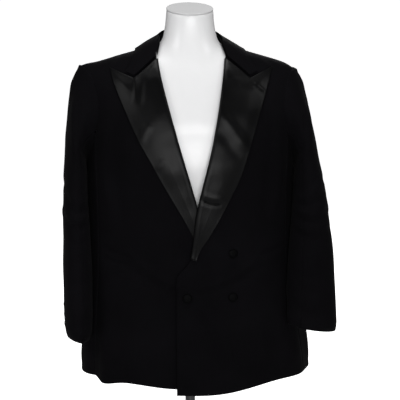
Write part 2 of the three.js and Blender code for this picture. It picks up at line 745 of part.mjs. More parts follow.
function formTorso() {
  const ringOf = (z, turn, scale = 1) => Array.from({ length: FORM_COLUMNS }, (_, j) => {
    const p = formPoint(360 * j / FORM_COLUMNS, z, turn)
    return new THREE.Vector3(p.x * scale, p.y * scale, p.z)
  })
  const rings = [ringOf(FORM_BOTTOM, 0, 0.9).map((p) => p.setZ(FORM_BOTTOM - 4))]
  rings.push(ringOf(FORM_BOTTOM, 0, 0.965))
  for (const z of [196, 230, 280, 340, 400, 460, 520, 580, 640]) rings.push(ringOf(z, 0))
  for (const turn of TURNS) rings.push(ringOf(0, Math.min(turn, 89.4)))
  const trunk = toManifold(loft(rings))
  const neckRings = NECK.map(([z, width, front, back]) => Array.from({ length: 36 }, (_, j) => {
    const turn = radians(360 * j / 36)
    const y = -Math.cos(turn) * (Math.cos(turn) > 0 ? front : back)
    const slant = NECK_SLANT * y * smooth(905, 974, z)
    return new THREE.Vector3(Math.sin(turn) * width, y, z + slant)
  }))
  const neck = toManifold(loft(neckRings))
  return fromManifold(trunk.add(neck))
}

function cylinder(radius, low, high, segments) {
  return new THREE.CylinderGeometry(radius, radius, high - low, segments)
    .rotateX(Math.PI / 2).translate(0, 0, (low + high) / 2)
}

function basePlate() {
  const edge = 1.2
  const profile = [[0, 0], [BASE.radius - edge, 0], [BASE.radius, edge], [BASE.radius, BASE.height - edge],
    [BASE.radius - edge, BASE.height], [0, BASE.height]]
  return new THREE.LatheGeometry(profile.map(([r, z]) => new THREE.Vector2(r, z)), 56).rotateX(Math.PI / 2)
}

const wool = () => new THREE.MeshStandardMaterial({ color: 0x101012, roughness: 0.9, metalness: 0 })
const satin = () => new THREE.MeshStandardMaterial({ color: 0x1c1c1f, roughness: 0.35, metalness: 0 })
const buttonCloth = () => new THREE.MeshStandardMaterial({ color: 0x141416, roughness: 0.4, metalness: 0 })
const formWhite = () => new THREE.MeshStandardMaterial({ color: 0xe6e6e8, roughness: 0.3, metalness: 0 })
const darkSteel = () => new THREE.MeshStandardMaterial({ color: 0x222225, roughness: 0.45, metalness: 0.8 })

const jacket = new THREE.Group()

function add(name, geometry, material) {
  const mesh = new THREE.Mesh(geometry, material)
  mesh.name = name
  jacket.add(mesh)
}

add('form_torso', formTorso(), formWhite())
add('stand_pole', cylinder(POLE_RADIUS, BASE.height + REST_GAP, FORM_BOTTOM - 4 - REST_GAP, 28), darkSteel())
add('stand_base', basePlate(), darkSteel())

const lapFront = frontPanel(1, LAP_EDGE, true)
add('front_left', lapFront, wool())
add('front_right', frontPanel(-1, UNDER_EDGE, false), wool())
add('lapel_left', lapel(1, LAP_EDGE, LAP_OUTLINE, true), satin())
add('lapel_right', lapel(-1, UNDER_EDGE, UNDER_OUTLINE, false), satin())
for (const [name, side] of [['left', 1], ['right', -1]]) {
  add(`side_${name}`, sidePanel(side), wool())
  add(`back_${name}`, backPanel(side), wool())
}
add('collar_leaf', collarLeaf(), wool())
add('collar_stand', collarStand(), wool())

for (const [name, side] of [['left', 1], ['right', -1]]) {
  const rings = sleeveRings(side, SLEEVES[name])
  const top = sleeveHalf(rings, -9, 9)
  add(`sleeve_top_${name}`, top, wool())
  add(`sleeve_under_${name}`, sleeveHalf(rings, 9, 19), wool())
  for (const [k, height] of [20, 41, 62].entries()) {
    add(`cuff_button_${name}_${k + 1}`, cuffButton(top, rings, height), buttonCloth())
  }
}

add('button_show', frontButton(lapFront, 83, 459), buttonCloth())
add('button_fastened', frontButton(lapFront, -15, 365), buttonCloth())
add('button_partner', frontButton(lapFront, 83, 365), buttonCloth())

export default jacket
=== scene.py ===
"""Dresses the packed dinner jacket in fine cloth, satin, buttons and a plain studio stage."""
import math

import bmesh
import bpy
import numpy as np
from bpy.props import FloatProperty, FloatVectorProperty, PointerProperty
from mathutils import Matrix, Vector, noise
from mathutils.bvhtree import BVHTree
from mathutils.kdtree import KDTree


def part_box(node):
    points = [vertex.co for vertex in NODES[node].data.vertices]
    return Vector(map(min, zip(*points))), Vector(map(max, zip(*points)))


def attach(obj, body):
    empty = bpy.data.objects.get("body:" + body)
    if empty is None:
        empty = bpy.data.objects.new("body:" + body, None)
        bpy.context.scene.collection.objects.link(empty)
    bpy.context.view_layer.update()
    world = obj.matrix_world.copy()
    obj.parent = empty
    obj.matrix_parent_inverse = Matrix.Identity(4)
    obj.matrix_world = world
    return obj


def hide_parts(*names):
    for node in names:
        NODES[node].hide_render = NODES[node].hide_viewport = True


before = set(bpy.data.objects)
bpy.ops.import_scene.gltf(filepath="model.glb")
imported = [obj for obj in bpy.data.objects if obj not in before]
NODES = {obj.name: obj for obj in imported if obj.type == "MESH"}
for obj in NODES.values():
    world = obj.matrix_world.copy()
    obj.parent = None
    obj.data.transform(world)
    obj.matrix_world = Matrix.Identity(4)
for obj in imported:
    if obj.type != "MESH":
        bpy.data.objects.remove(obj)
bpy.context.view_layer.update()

bl_info = {
    "name": "Dinner jacket on a dress form",
    "version": (1, 0, 0),
    "blender": (4, 5, 0),
    "location": "View3D > Sidebar > Jacket",
    "description": "Builds the cloth, satin facings, buttons, dress form and studio stage of a dinner jacket",
    "category": "Object",
}

BODY = ("front_left", "front_right", "side_left", "side_right", "back_left", "back_right")
SLEEVES = {side: (f"sleeve_top_{side}", f"sleeve_under_{side}") for side in ("left", "right")}
RIM_ANGLE = math.radians(60)
SHARP_ANGLE = math.radians(48)
MM = 0.001

# Creases of the body: side looked at, path in millimetres (across, up), half width, depth.
# A positive depth is a ridge that stands out, a negative one a hollow.
BODY_CREASES = [
    ("front", [(-26, 372), (-70, 388), (-118, 414), (-160, 446)], 9, -2.2),
    ("front", [(-24, 384), (-64, 404), (-108, 434), (-148, 470)], 8, 1.6),
    ("front", [(-4, 356), (34, 322), (70, 270), (92, 200)], 16, 2.6),
    ("front", [(-6, 344), (20, 300), (44, 240), (54, 180)], 13, -2.2),
    ("front", [(8, 372), (50, 384), (104, 402), (160, 432)], 9, -1.8),
    ("front", [(6, 382), (52, 398), (100, 420), (150, 456)], 8, 1.3),
    ("front", [(-172, 770), (-186, 700), (-188, 620), (-176, 540)], 15, 3.0),
    ("front", [(-152, 740), (-160, 660), (-158, 580), (-146, 500)], 16, -2.4),
    ("front", [(176, 770), (188, 700), (190, 620), (178, 540)], 15, 3.0),
    ("front", [(156, 740), (164, 660), (160, 580), (150, 500)], 16, -2.4),
    ("front", [(-196, 470), (-168, 458), (-138, 452)], 7, -1.8),
    ("front", [(-198, 446), (-170, 438), (-142, 436)], 7, -1.5),
    ("front", [(200, 470), (172, 458), (142, 452)], 7, -1.8),
    ("front", [(-122, 330), (-128, 260), (-132, 180)], 16, 2.4),
    ("front", [(-92, 320), (-96, 250), (-98, 176)], 14, -2.0),
    ("front", [(132, 330), (140, 260), (146, 190)], 17, 2.6),
    ("front", [(168, 320), (178, 250), (186, 200)], 14, -2.2),
    ("front", [(60, 430), (56, 400), (50, 340)], 12, 1.2),
    ("front", [(-42, 470), (-6, 458), (32, 450)], 38, -6.0),
    ("front", [(-150, 880), (-172, 860), (-196, 838)], 10, -1.2),
    ("front", [(150, 880), (174, 858), (198, 836)], 10, -1.2),
    ("back", [(-176, 760), (-170, 680), (-148, 600), (-120, 530)], 16, 3.2),
    ("back", [(-150, 740), (-142, 660), (-118, 590)], 15, -2.4),
    ("back", [(176, 760), (170, 680), (148, 600), (120, 530)], 16, 3.2),
    ("back", [(150, 740), (142, 660), (118, 590)], 15, -2.4),
    ("back", [(-96, 858), (-48, 846), (0, 842), (48, 846), (96, 858)], 8, -1.4),
    ("back", [(-110, 846), (-54, 832), (0, 828), (54, 832), (110, 846)], 8, 1.1),
    ("back", [(-130, 462), (-84, 452), (-36, 450), (-8, 452)], 10, -2.2),
    ("back", [(-124, 442), (-80, 432), (-34, 430)], 9, 1.6),
    ("back", [(134, 466), (90, 454), (40, 450), (12, 452)], 10, -2.2),
    ("back", [(126, 444), (84, 434), (36, 432)], 9, 1.6),
    ("back", [(-74, 380), (-86, 290), (-92, 190)], 22, 3.0),
    ("back", [(78, 380), (92, 290), (98, 190)], 22, 3.0),
    ("back", [(-36, 360), (-40, 270), (-42, 186)], 18, -2.2),
    ("back", [(40, 360), (46, 270), (48, 186)], 18, -2.2),
    ("left", [(-40, 470), (0, 462), (44, 468)], 9, -1.8),
    ("left", [(-34, 444), (2, 438), (40, 446)], 8, 1.2),
    ("left", [(-18, 340), (-22, 260), (-24, 196)], 18, 2.4),
    ("right", [(-40, 470), (0, 462), (44, 468)], 9, -1.8),
    ("right", [(-34, 444), (2, 438), (40, 446)], 8, 1.2),
    ("right", [(-14, 340), (-18, 260), (-20, 196)], 18, 2.4),
]

# Creases of the satin, on top of those of the body
LAPEL_CREASES = [
    ("front", [(132, 820), (142, 812), (158, 800)], 3.2, 1.2),
    ("front", [(128, 812), (140, 803), (152, 794)], 4, -0.9),
    ("front", [(54, 766), (76, 736), (98, 706), (118, 678)], 11, 2.0),
    ("front", [(38, 742), (58, 714), (80, 684), (98, 660)], 12, -1.4),
    ("front", [(10, 578), (34, 569), (60, 566)], 6, -1.7),
    ("front", [(16, 590), (40, 580), (64, 577)], 6, 1.0),
    ("front", [(-119, 842), (-120, 812), (-123, 778)], 4, 1.3),
    ("front", [(-108, 838), (-108, 806), (-112, 772)], 7, -1.1),
    ("front", [(-92, 738), (-104, 716), (-112, 696)], 9, 1.3),
    ("front", [(-60, 664), (-70, 650), (-84, 640)], 8, 0.9),
]

# Creases of the sleeves: the bend of the elbow, the pull under the arm and the break over the cuff
SLEEVE_CREASES = {
    "left": [
        ("front", [(218, 566), (240, 556), (266, 566), (292, 590)], 7, -3.0),
        ("front", [(216, 584), (238, 576), (262, 590), (284, 616)], 7, 2.4),
        ("front", [(214, 540), (240, 524), (270, 526), (300, 544)], 8, -2.8),
        ("front", [(214, 552), (240, 540), (268, 544), (296, 564)], 6, 2.2),
        ("front", [(212, 508), (240, 490), (274, 488), (304, 500)], 8, -2.2),
        ("front", [(212, 522), (240, 506), (270, 506), (300, 520)], 7, 1.8),
        ("front", [(224, 650), (238, 690), (244, 736), (240, 786)], 9, -2.6),
        ("front", [(234, 646), (252, 690), (258, 740), (254, 790)], 11, 2.0),
        ("front", [(208, 420), (240, 404), (280, 410)], 12, -1.8),
        ("front", [(206, 372), (240, 352), (290, 360)], 14, 1.8),
        ("front", [(240, 330), (262, 318), (300, 330)], 9, -1.4),
        ("back", [(222, 560), (246, 530), (276, 520), (300, 530)], 9, -2.6),
        ("back", [(222, 590), (244, 562), (272, 552), (296, 566)], 9, 2.2),
        ("back", [(222, 620), (242, 640), (262, 690), (264, 740)], 11, -2.4),
        ("back", [(214, 440), (244, 420), (290, 428)], 12, -1.8),
        ("left", [(-70, 620), (-30, 600), (10, 606)], 9, -1.8),
        ("left", [(-74, 560), (-36, 540), (4, 548)], 9, 1.8),
        ("left", [(0, 800), (4, 740), (-4, 680)], 16, 1.6),
    ],
    "right": [
        ("front", [(-222, 560), (-240, 548), (-258, 556), (-272, 578)], 7, -2.8),
        ("front", [(-222, 578), (-238, 568), (-254, 578), (-268, 600)], 7, 2.2),
        ("front", [(-220, 528), (-240, 514), (-262, 518), (-276, 534)], 8, -2.6),
        ("front", [(-220, 542), (-240, 530), (-260, 536), (-274, 552)], 6, 2.0),
        ("front", [(-220, 490), (-242, 478), (-266, 482)], 8, -2.0),
        ("front", [(-226, 650), (-238, 690), (-244, 736), (-240, 786)], 9, -2.6),
        ("front", [(-236, 646), (-250, 690), (-254, 740), (-250, 790)], 10, 2.0),
        ("front", [(-220, 410), (-244, 396), (-268, 404)], 12, -1.8),
        ("front", [(-220, 350), (-244, 334), (-268, 342)], 12, 1.6),
        ("front", [(-222, 316), (-242, 304), (-266, 312)], 9, -1.4),
        ("back", [(-222, 560), (-240, 534), (-262, 526), (-276, 538)], 9, -2.4),
        ("back", [(-222, 588), (-238, 564), (-258, 556), (-272, 570)], 9, 2.0),
        ("back", [(-222, 620), (-240, 640), (-256, 690), (-258, 740)], 11, -2.4),
        ("back", [(-220, 440), (-244, 422), (-268, 430)], 12, -1.8),
        ("right", [(-60, 620), (-24, 600), (12, 606)], 9, -1.8),
        ("right", [(-62, 560), (-28, 540), (8, 548)], 9, 1.8),
        ("right", [(0, 800), (4, 740), (-4, 680)], 16, 1.6),
    ],
}
LOOKS = {
    "front": (Vector((0, 1, 0)), lambda u, v: Vector((u, -0.6, v))),
    "back": (Vector((0, -1, 0)), lambda u, v: Vector((u, 0.6, v))),
    "left": (Vector((-1, 0, 0)), lambda u, v: Vector((0.6, u, v))),
    "right": (Vector((1, 0, 0)), lambda u, v: Vector((-0.6, u, v))),
}
CREASE_STEPS = 22
# How much further than its stated depth a crease is drawn out
CREASE_GAIN = 1.3
# The trunk as a dome: height of the chest, then half width, half depth and rise over the chest, in metres
CHEST = 0.64
TRUNK_WIDTH, TRUNK_DEPTH, TRUNK_RISE = 0.22, 0.125, 0.28
# Tips of the shoulders: place, reach and how far each is moved, in metres
SHOULDER_TIPS = [
    ((0.242, 0.008, 0.850), 0.026, (-0.0045, 0, -0.0085)),
    ((-0.226, 0.008, 0.855), 0.020, (0, 0, 0.0035)),
]
# How near a rim has to be to a sewn neighbour to be brought up to it, and how far it laps
SEAM_REACH, SEAM_LAP = 4 * MM, 0.4 * MM
# Half width of the dip along a seam, and how far above the hem and the cuff's end the lining starts, in metres
SEAM_WIDTH = 0.0035
HEM_TURN, CUFF_HEM = 0.035, 0.03
# The slanted plane of the neck's top, its lid's profile as shares of the neck's half width and of the lid's
# unit of height, and that unit
CAP_HEIGHT, CAP_SLANT = 0.974, 0.23
CAP_PROFILE = [(0, -0.3), (0.99, -0.3), (1.0, 0.02), (0.985, 0.13), (0.9, 0.15), (0, 0.15)]
CAP_UNIT = 10 * MM
# The form's skin: size of its mesh in metres, rounds of smoothing all over, and rounds in all
SKIN_VOXEL = 0.0034
ROUNDS_ALL_OVER, ROUNDS_IN_ALL = 30, 90
# Height and spread of the foot of the form's neck, in metres
NECK_FOOT, NECK_FOOT_SPREAD = 0.885, 0.05
# Where a sleeve's head rounds over and how far it rises, and the height and spread of its fullness, in metres
HEAD_START, HEAD_RISE = 0.76, 0.06
HEAD_FULLEST, HEAD_SPREAD = 0.822, 0.028
# How far each sleeve head is filled out, and how far the cuff's front turns under, in millimetres
HEAD_FULLNESS = {"left": 5.2, "right": 8.0}
CUFF_TURN = {"left": 8, "right": 10}
# Height over which the cuff's front turns under, in metres
CUFF_TURN_HEIGHT = 0.026
# Where the right sleeve is drawn to the waist: height, spread and how far, in metres
WAIST_HEIGHT, WAIST_SPREAD, WAIST_DRAW = 0.645, 0.045, 0.0045
# Where the buttonhole runs over the left lapel, in millimetres across and up
BUTTONHOLE = [(20, 574.5), (30, 570), (42, 567.2), (54, 566.4)]
# Stitches on each side of the buttonhole, rings along one stitch and corners of a ring
STITCHES, STITCH_RINGS, STITCH_CORNERS = 58, 6, 5
# A covered button's outline, as shares of its radius and of its height
BUTTON_PROFILE = [
    (0, 0), (0.32, 0), (0.32, 0.28), (0.8, 0.3), (0.985, 0.45), (1.0, 0.58), (0.93, 0.72), (0.82, 0.84),
    (0.55, 0.95), (0.28, 0.995), (0, 1),
]
# Soft lights: place, point aimed at, size in metres, share of the key light's power
SOFTBOXES = {
    "key": ((0.1, -3.4, 0.74), (0, 0, 0.74), (2.7, 0.8), 1.0),
    "strip": ((-0.21, -3.3, 1.08), (0, 0, 0.97), (0.1, 0.55), 0.05),
    "upper_left": ((-2.1, -1.6, 1.95), (0, 0, 0.75), (0.9, 0.9), 0.28),
    "upper_right": ((2.2, -1.5, 2.3), (0, 0, 0.75), (0.6, 0.6), 0.2),
    "top": ((0, -0.4, 2.9), (0, 0, 0.85), (1.4, 0.8), 0.5),
    "behind": ((0.6, 2.6, 2.0), (0, 0, 0.6), (1.6, 1.0), 0.6),
}
# The camera: focal length and sensor in millimetres, its turn about the form, then its distance, height
# and aim in metres
LENS, SENSOR = 124.2, 36.0
CAMERA_TURN, CAMERA_DISTANCE, CAMERA_HEIGHT = math.radians(-4), 3.0, 1.02
CAMERA_AIM = (0.02195, -0.00153, 0.557)
FLOOR_RADIUS = 120


def points_of(mesh):
    """The mesh's points as an array."""
    table = np.empty(len(mesh.vertices) * 3, np.float32)
    mesh.vertices.foreach_get("co", table)
    return table.reshape(-1, 3).astype(float)


def put_points(mesh, points):
    """Gives the mesh's points new places."""
    mesh.vertices.foreach_set("co", points.astype(np.float32).ravel())
    mesh.update()


def cad_mesh(name):
    """A copy of a node's mesh with its split points merged and its triangles paired."""
    mesh = bmesh.new()
    mesh.from_mesh(NODES[name].data)
    bmesh.ops.remove_doubles(mesh, verts=mesh.verts, dist=0.00002)
    bmesh.ops.join_triangles(
        mesh, faces=mesh.faces, angle_face_threshold=math.radians(38), angle_shape_threshold=math.radians(80)
    )
    return mesh


def tree_of(*names):
    """One search tree over some of the CAD nodes."""
    mesh = bmesh.new()
    for name in names:
        mesh.from_mesh(NODES[name].data)
    tree = BVHTree.FromBMesh(mesh)
    mesh.free()
    return tree


def rim_tree(names):
    """The points along the cut edges of some nodes, for finding seams."""
    rims = []
    for name in names:
        mesh = cad_mesh(name)
        for edge in mesh.edges:
            if len(edge.link_faces) == 2 and edge.calc_face_angle() > RIM_ANGLE:
                a, b = (v.co for v in edge.verts)
                steps = max(1, int((a - b).length / 0.004))
                rims += [a.lerp(b, k / steps) for k in range(steps)]
        mesh.free()
    tree = KDTree(len(rims))
    for k, point in enumerate(rims):
        tree.insert(point, k)
    tree.balance()
    return tree


def near(tree, points, reach):
    """Distance from each point to the tree's nearest one, at most reach."""
    out = np.full(len(points), reach)
    for k, point in enumerate(points):
        found = tree.find(point)[2]
        if found is not None and found < reach:
            out[k] = found
    return out


def new_piece(name, mesh, material, replaced):
    """A finished piece of the scene, riding on the part's body, in the place of some CAD nodes."""
    piece = bpy.data.objects.new(name, mesh)
    bpy.context.scene.collection.objects.link(piece)
    for one in material if isinstance(material, (list, tuple)) else [material]:
        mesh.materials.append(one)
    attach(piece, "root")
    if replaced:
        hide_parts(*replaced)
    return piece


def subdivided(bm, levels, name):
    """The smooth surface through a coarse cage, with its rims kept crisp."""
    layer = bm.edges.layers.float.get("crease_edge") or bm.edges.layers.float.new("crease_edge")
    for edge in bm.edges:
        if len(edge.link_faces) == 2 and edge.calc_face_angle() > RIM_ANGLE:
            edge[layer] = 1.0
    coarse = bpy.data.meshes.new(name + "_cage")
    bm.to_mesh(coarse)
    bm.free()
    holder = bpy.data.objects.new(name + "_cage", coarse)
    bpy.context.scene.collection.objects.link(holder)
    smooth = holder.modifiers.new("smooth", "SUBSURF")
    smooth.levels = smooth.render_levels = levels
    bpy.context.view_layer.update()
    fine = bpy.data.meshes.new_from_object(holder.evaluated_get(bpy.context.evaluated_depsgraph_get()))
    bpy.data.objects.remove(holder)
    bpy.data.meshes.remove(coarse)
    fine.name = name
    return fine


def finish_shading(mesh):
    """Smooth shading with the sharp edges kept."""
    mesh.shade_smooth()
    mesh.set_sharp_from_angle(angle=SHARP_ANGLE)


def path_through(points, steps):
    """Evenly read points of a smooth curve through a few given ones."""
    points = [Vector(p) for p in points]
    out = []
    for k in range(steps):
        t = k / (steps - 1) * (len(points) - 1)
        i = min(int(t), len(points) - 2)
        u = t - i
        p0, p1, p2, p3 = (points[min(max(i + d, 0), len(points) - 1)] for d in (-1, 0, 1, 2))
        bend = 2 * p0 - 5 * p1 + 4 * p2 - p3
        twist = 3 * p1 - p0 - 3 * p2 + p3
        out.append(0.5 * (2 * p1 + (p2 - p0) * u + bend * u**2 + twist * u**3))
    return out


def lay_creases(tree, creases):
    """Casts each crease's path onto the cloth and returns its points, half width and depth in metres."""
    laid = []
    for look, path, width, depth in creases:
        ray, start = LOOKS[look]
        points = []
        for p in path_through([(u, v, 0) for u, v in path], CREASE_STEPS):
            hit = tree.ray_cast(start(p.x * MM, p.y * MM), ray)[0]
            if hit is not None:
                points.append(tuple(hit))
        if len(points) > 2:
            laid.append((np.array(points), width * MM, depth * MM))
    return laid


def crease_field(points, laid):
    """Height of all creases at each point: a soft ridge with tapered ends and a shallow opposite bank."""
    out = np.zeros(len(points))
    for path, width, depth in laid:
        low, high = path.min(0) - 3 * width, path.max(0) + 3 * width
        inside = np.nonzero(((points > low) & (points < high)).all(1))[0]
        if not len(inside):
            continue
        near_points = points[inside]
        best = np.full(len(inside), 9.0)
        share = np.zeros(len(inside))
        count = len(path) - 1
        for k in range(count):
            a, d = path[k], path[k + 1] - path[k]
            t = np.clip(((near_points - a) @ d) / max(d @ d, 1e-12), 0, 1)
            gap = ((near_points - a - t[:, None] * d) ** 2).sum(1)
            closer = gap < best
            best[closer] = gap[closer]
            share[closer] = (k + t[closer]) / count
        ratio = best / width**2
        taper = np.clip(np.sin(np.pi * np.clip(share, 0.02, 0.98)) * 1.5, 0, 1) ** 0.8
        out[inside] += depth * taper * (np.exp(-ratio) - 0.25 * np.exp(-ratio / 4))
    return out


def soft_noise(points, size, amount, seed):
    """A slow random swell of the cloth, the same on neighbouring pieces."""
    shift = Vector((seed * 3.1, seed * 1.7, seed * 0.9))
    return np.array([noise.noise(Vector(p) / size + shift) for p in points]) * amount


def bell(distance, width):
    """A smooth bump: 1 in the middle, falling off over its width."""
    return np.exp(-((distance / width) ** 2))


def body_out(points):
    """Outward directions of the trunk of the jacket."""
    rise = np.maximum(points[:, 2] - CHEST, 0)
    out = np.stack([points[:, 0] / TRUNK_WIDTH**2, points[:, 1] / TRUNK_DEPTH**2, rise / TRUNK_RISE**2], 1)
    return out / np.linalg.norm(out, axis=1)[:, None]


def sleeve_axis(side):
    """Middle of a sleeve and its half size, by height."""
    points = np.vstack([points_of(NODES[name].data) for name in SLEEVES[side]])
    heights = np.linspace(0.30, 0.80, 26)
    rows = []
    for height in heights:
        slice_ = points[np.abs(points[:, 2] - height) < 0.035]
        low, high = slice_.min(0), slice_.max(0)
        rows.append([*((low + high) / 2)[:2], *((high - low) / 2)[:2]])
    return heights, np.array(rows)


def sleeve_out(points, axis):
    """Outward directions of a sleeve."""
    heights, rows = axis
    x, y, half_x, half_y = (np.interp(points[:, 2], heights, rows[:, k]) for k in range(4))
    out = np.stack(
        [
            (points[:, 0] - x) / half_x**2,
            (points[:, 1] - y) / half_y**2,
            np.maximum(points[:, 2] - HEAD_START, 0) / HEAD_RISE**2,
        ],
        1,
    )
    return out / np.maximum(np.linalg.norm(out, axis=1), 1e-9)[:, None]


def sleeve_line(points, axis, side):
    """Fills out the sleeve's head, turns the front of its cuff under and draws it to the waist."""
    heights, rows = axis
    x, y, half_x, half_y = (np.interp(points[:, 2], heights, rows[:, k]) for k in range(4))
    outside = np.clip(np.sign(x) * (points[:, 0] - x) / half_x, -1, 1)
    head = HEAD_FULLNESS[side] * bell(points[:, 2] - HEAD_FULLEST, HEAD_SPREAD) * np.clip(outside, 0, 1)
    front = np.clip(0.4 + 0.9 * (y - points[:, 1]) / half_y, 0, 1)
    above = (points[:, 2] - points[:, 2].min()) / CUFF_TURN_HEIGHT
    turn = CUFF_TURN[side] * front * np.clip(1 - above, 0, 1) ** 2
    moved = sleeve_out(points, axis) * ((head - turn) * MM)[:, None]
    if side == "right":
        moved[:, 0] += WAIST_DRAW * bell(points[:, 2] - WAIST_HEIGHT, WAIST_SPREAD) * np.clip(-outside, 0, 1)
    return moved


def shoulder_line(points):
    """The wearer's left shoulder drops and rounds at its tip; the right one stands a little higher."""
    moved = np.zeros_like(points)
    for tip, reach, move in SHOULDER_TIPS:
        moved += bell(np.linalg.norm(points - tip, axis=1), reach)[:, None] * np.array(move)
    return moved


def body_height(points):
    """How far the jacket's trunk stands out from its solid at each point."""
    return (
        CREASE_GAIN * crease_field(points, body_laid)
        + soft_noise(points, 0.085, 1.6 * MM, 1)
        + soft_noise(points, 0.034, 0.5 * MM, 2)
    )


body_laid = lay_creases(tree_of(*BODY), BODY_CREASES)


def line_inside(mesh, outward, start):
    """Gives the lining to the faces that look inwards, from some height up."""
    middles = np.empty(len(mesh.polygons) * 3, np.float32)
    normals = np.empty(len(mesh.polygons) * 3, np.float32)
    mesh.polygons.foreach_get("center", middles)
    mesh.polygons.foreach_get("normal", normals)
    middles, normals = middles.reshape(-1, 3).astype(float), normals.reshape(-1, 3)
    inner = ((normals * outward(middles)).sum(1) < -0.2) & (middles[:, 2] > start)
    mesh.polygons.foreach_set("material_index", inner.astype(np.int32))


def group_node(tree, kind, **values):
    """A new node with some of its properties set."""
    node = tree.nodes.new(kind)
    for key, value in values.items():
        setattr(node, key, value)
    return node


def maths(tree, operation, *inputs):
    """A Math node on numbers or sockets, and its result."""
    node = group_node(tree, "ShaderNodeMath", operation=operation)
    for socket, value in zip(node.inputs, inputs):
        if isinstance(value, bpy.types.NodeSocket):
            tree.links.new(value, socket)
        else:
            socket.default_value = value
    return node.outputs[0]


def start_group(name, inputs, outputs):
    """An empty shader node group with named sockets."""
    tree = bpy.data.node_groups.new(name, "ShaderNodeTree")
    for label, kind, value in inputs:
        socket = tree.interface.new_socket(name=label, in_out="INPUT", socket_type=kind)
        socket.default_value = value
    for label, kind in outputs:
        tree.interface.new_socket(name=label, in_out="OUTPUT", socket_type=kind)
    return tree, tree.nodes.new("NodeGroupInput").outputs, tree.nodes.new("NodeGroupOutput").inputs


def weave_group():
    """Threads of a cloth: plain weave, diagonal ribs or both, without any unwrapping."""
    found = bpy.data.node_groups.get("Cloth weave")
    if found:
        return found
    tree, given, result = start_group(
        "Cloth weave",
        [
            ("Pitch", "NodeSocketFloat", 0.0008),
            ("Diagonal", "NodeSocketFloat", 0.5),
            ("Slub", "NodeSocketFloat", 0.3),
        ],
        [("Height", "NodeSocketFloat"), ("Thread", "NodeSocketFloat")],
    )
    place = tree.nodes.new("ShaderNodeTexCoord")
    where = tree.nodes.new("ShaderNodeSeparateXYZ")
    facing = tree.nodes.new("ShaderNodeSeparateXYZ")
    tree.links.new(place.outputs["Object"], where.inputs[0])
    tree.links.new(place.outputs["Normal"], facing.inputs[0])
    ax, ay, az = (maths(tree, "ABSOLUTE", facing.outputs[k]) for k in range(3))
    sideways = maths(tree, "GREATER_THAN", ax, ay)
    top = maths(tree, "GREATER_THAN", az, 0.8)
    across = group_node(tree, "ShaderNodeMix", data_type="FLOAT")
    tree.links.new(sideways, across.inputs[0])
    tree.links.new(where.outputs[0], across.inputs[2])
    tree.links.new(where.outputs[1], across.inputs[3])
    up = group_node(tree, "ShaderNodeMix", data_type="FLOAT")
    tree.links.new(top, up.inputs[0])
    tree.links.new(where.outputs[2], up.inputs[2])
    tree.links.new(where.outputs[1], up.inputs[3])
    slub = group_node(tree, "ShaderNodeTexNoise")
    slub.inputs["Scale"].default_value = 220
    slub.inputs["Detail"].default_value = 2
    tree.links.new(place.outputs["Object"], slub.inputs["Vector"])
    bent = maths(tree, "MULTIPLY", slub.outputs["Fac"], given["Slub"])
    turns = maths(tree, "DIVIDE", 2 * math.pi, given["Pitch"])
    warp = maths(tree, "SINE", maths(tree, "ADD", maths(tree, "MULTIPLY", across.outputs[0], turns), bent))
    weft = maths(tree, "SINE", maths(tree, "ADD", maths(tree, "MULTIPLY", up.outputs[0], turns), bent))
    cross = maths(tree, "MULTIPLY_ADD", maths(tree, "MULTIPLY", warp, weft), 0.5, 0.5)
    both = maths(tree, "ADD", across.outputs[0], up.outputs[0])
    slant = maths(tree, "MULTIPLY", both, maths(tree, "MULTIPLY", turns, 0.4))
    rib = maths(tree, "MULTIPLY_ADD", maths(tree, "SINE", maths(tree, "ADD", slant, bent)), 0.5, 0.5)
    mixed = group_node(tree, "ShaderNodeMix", data_type="FLOAT")
    tree.links.new(given["Diagonal"], mixed.inputs[0])
    tree.links.new(cross, mixed.inputs[2])
    tree.links.new(rib, mixed.inputs[3])
    tree.links.new(mixed.outputs[0], result["Height"])
    uneven = maths(tree, "MULTIPLY_ADD", slub.outputs["Fac"], 0.6, 0.7)
    tree.links.new(maths(tree, "MULTIPLY", mixed.outputs[0], uneven), result["Thread"])
    return tree


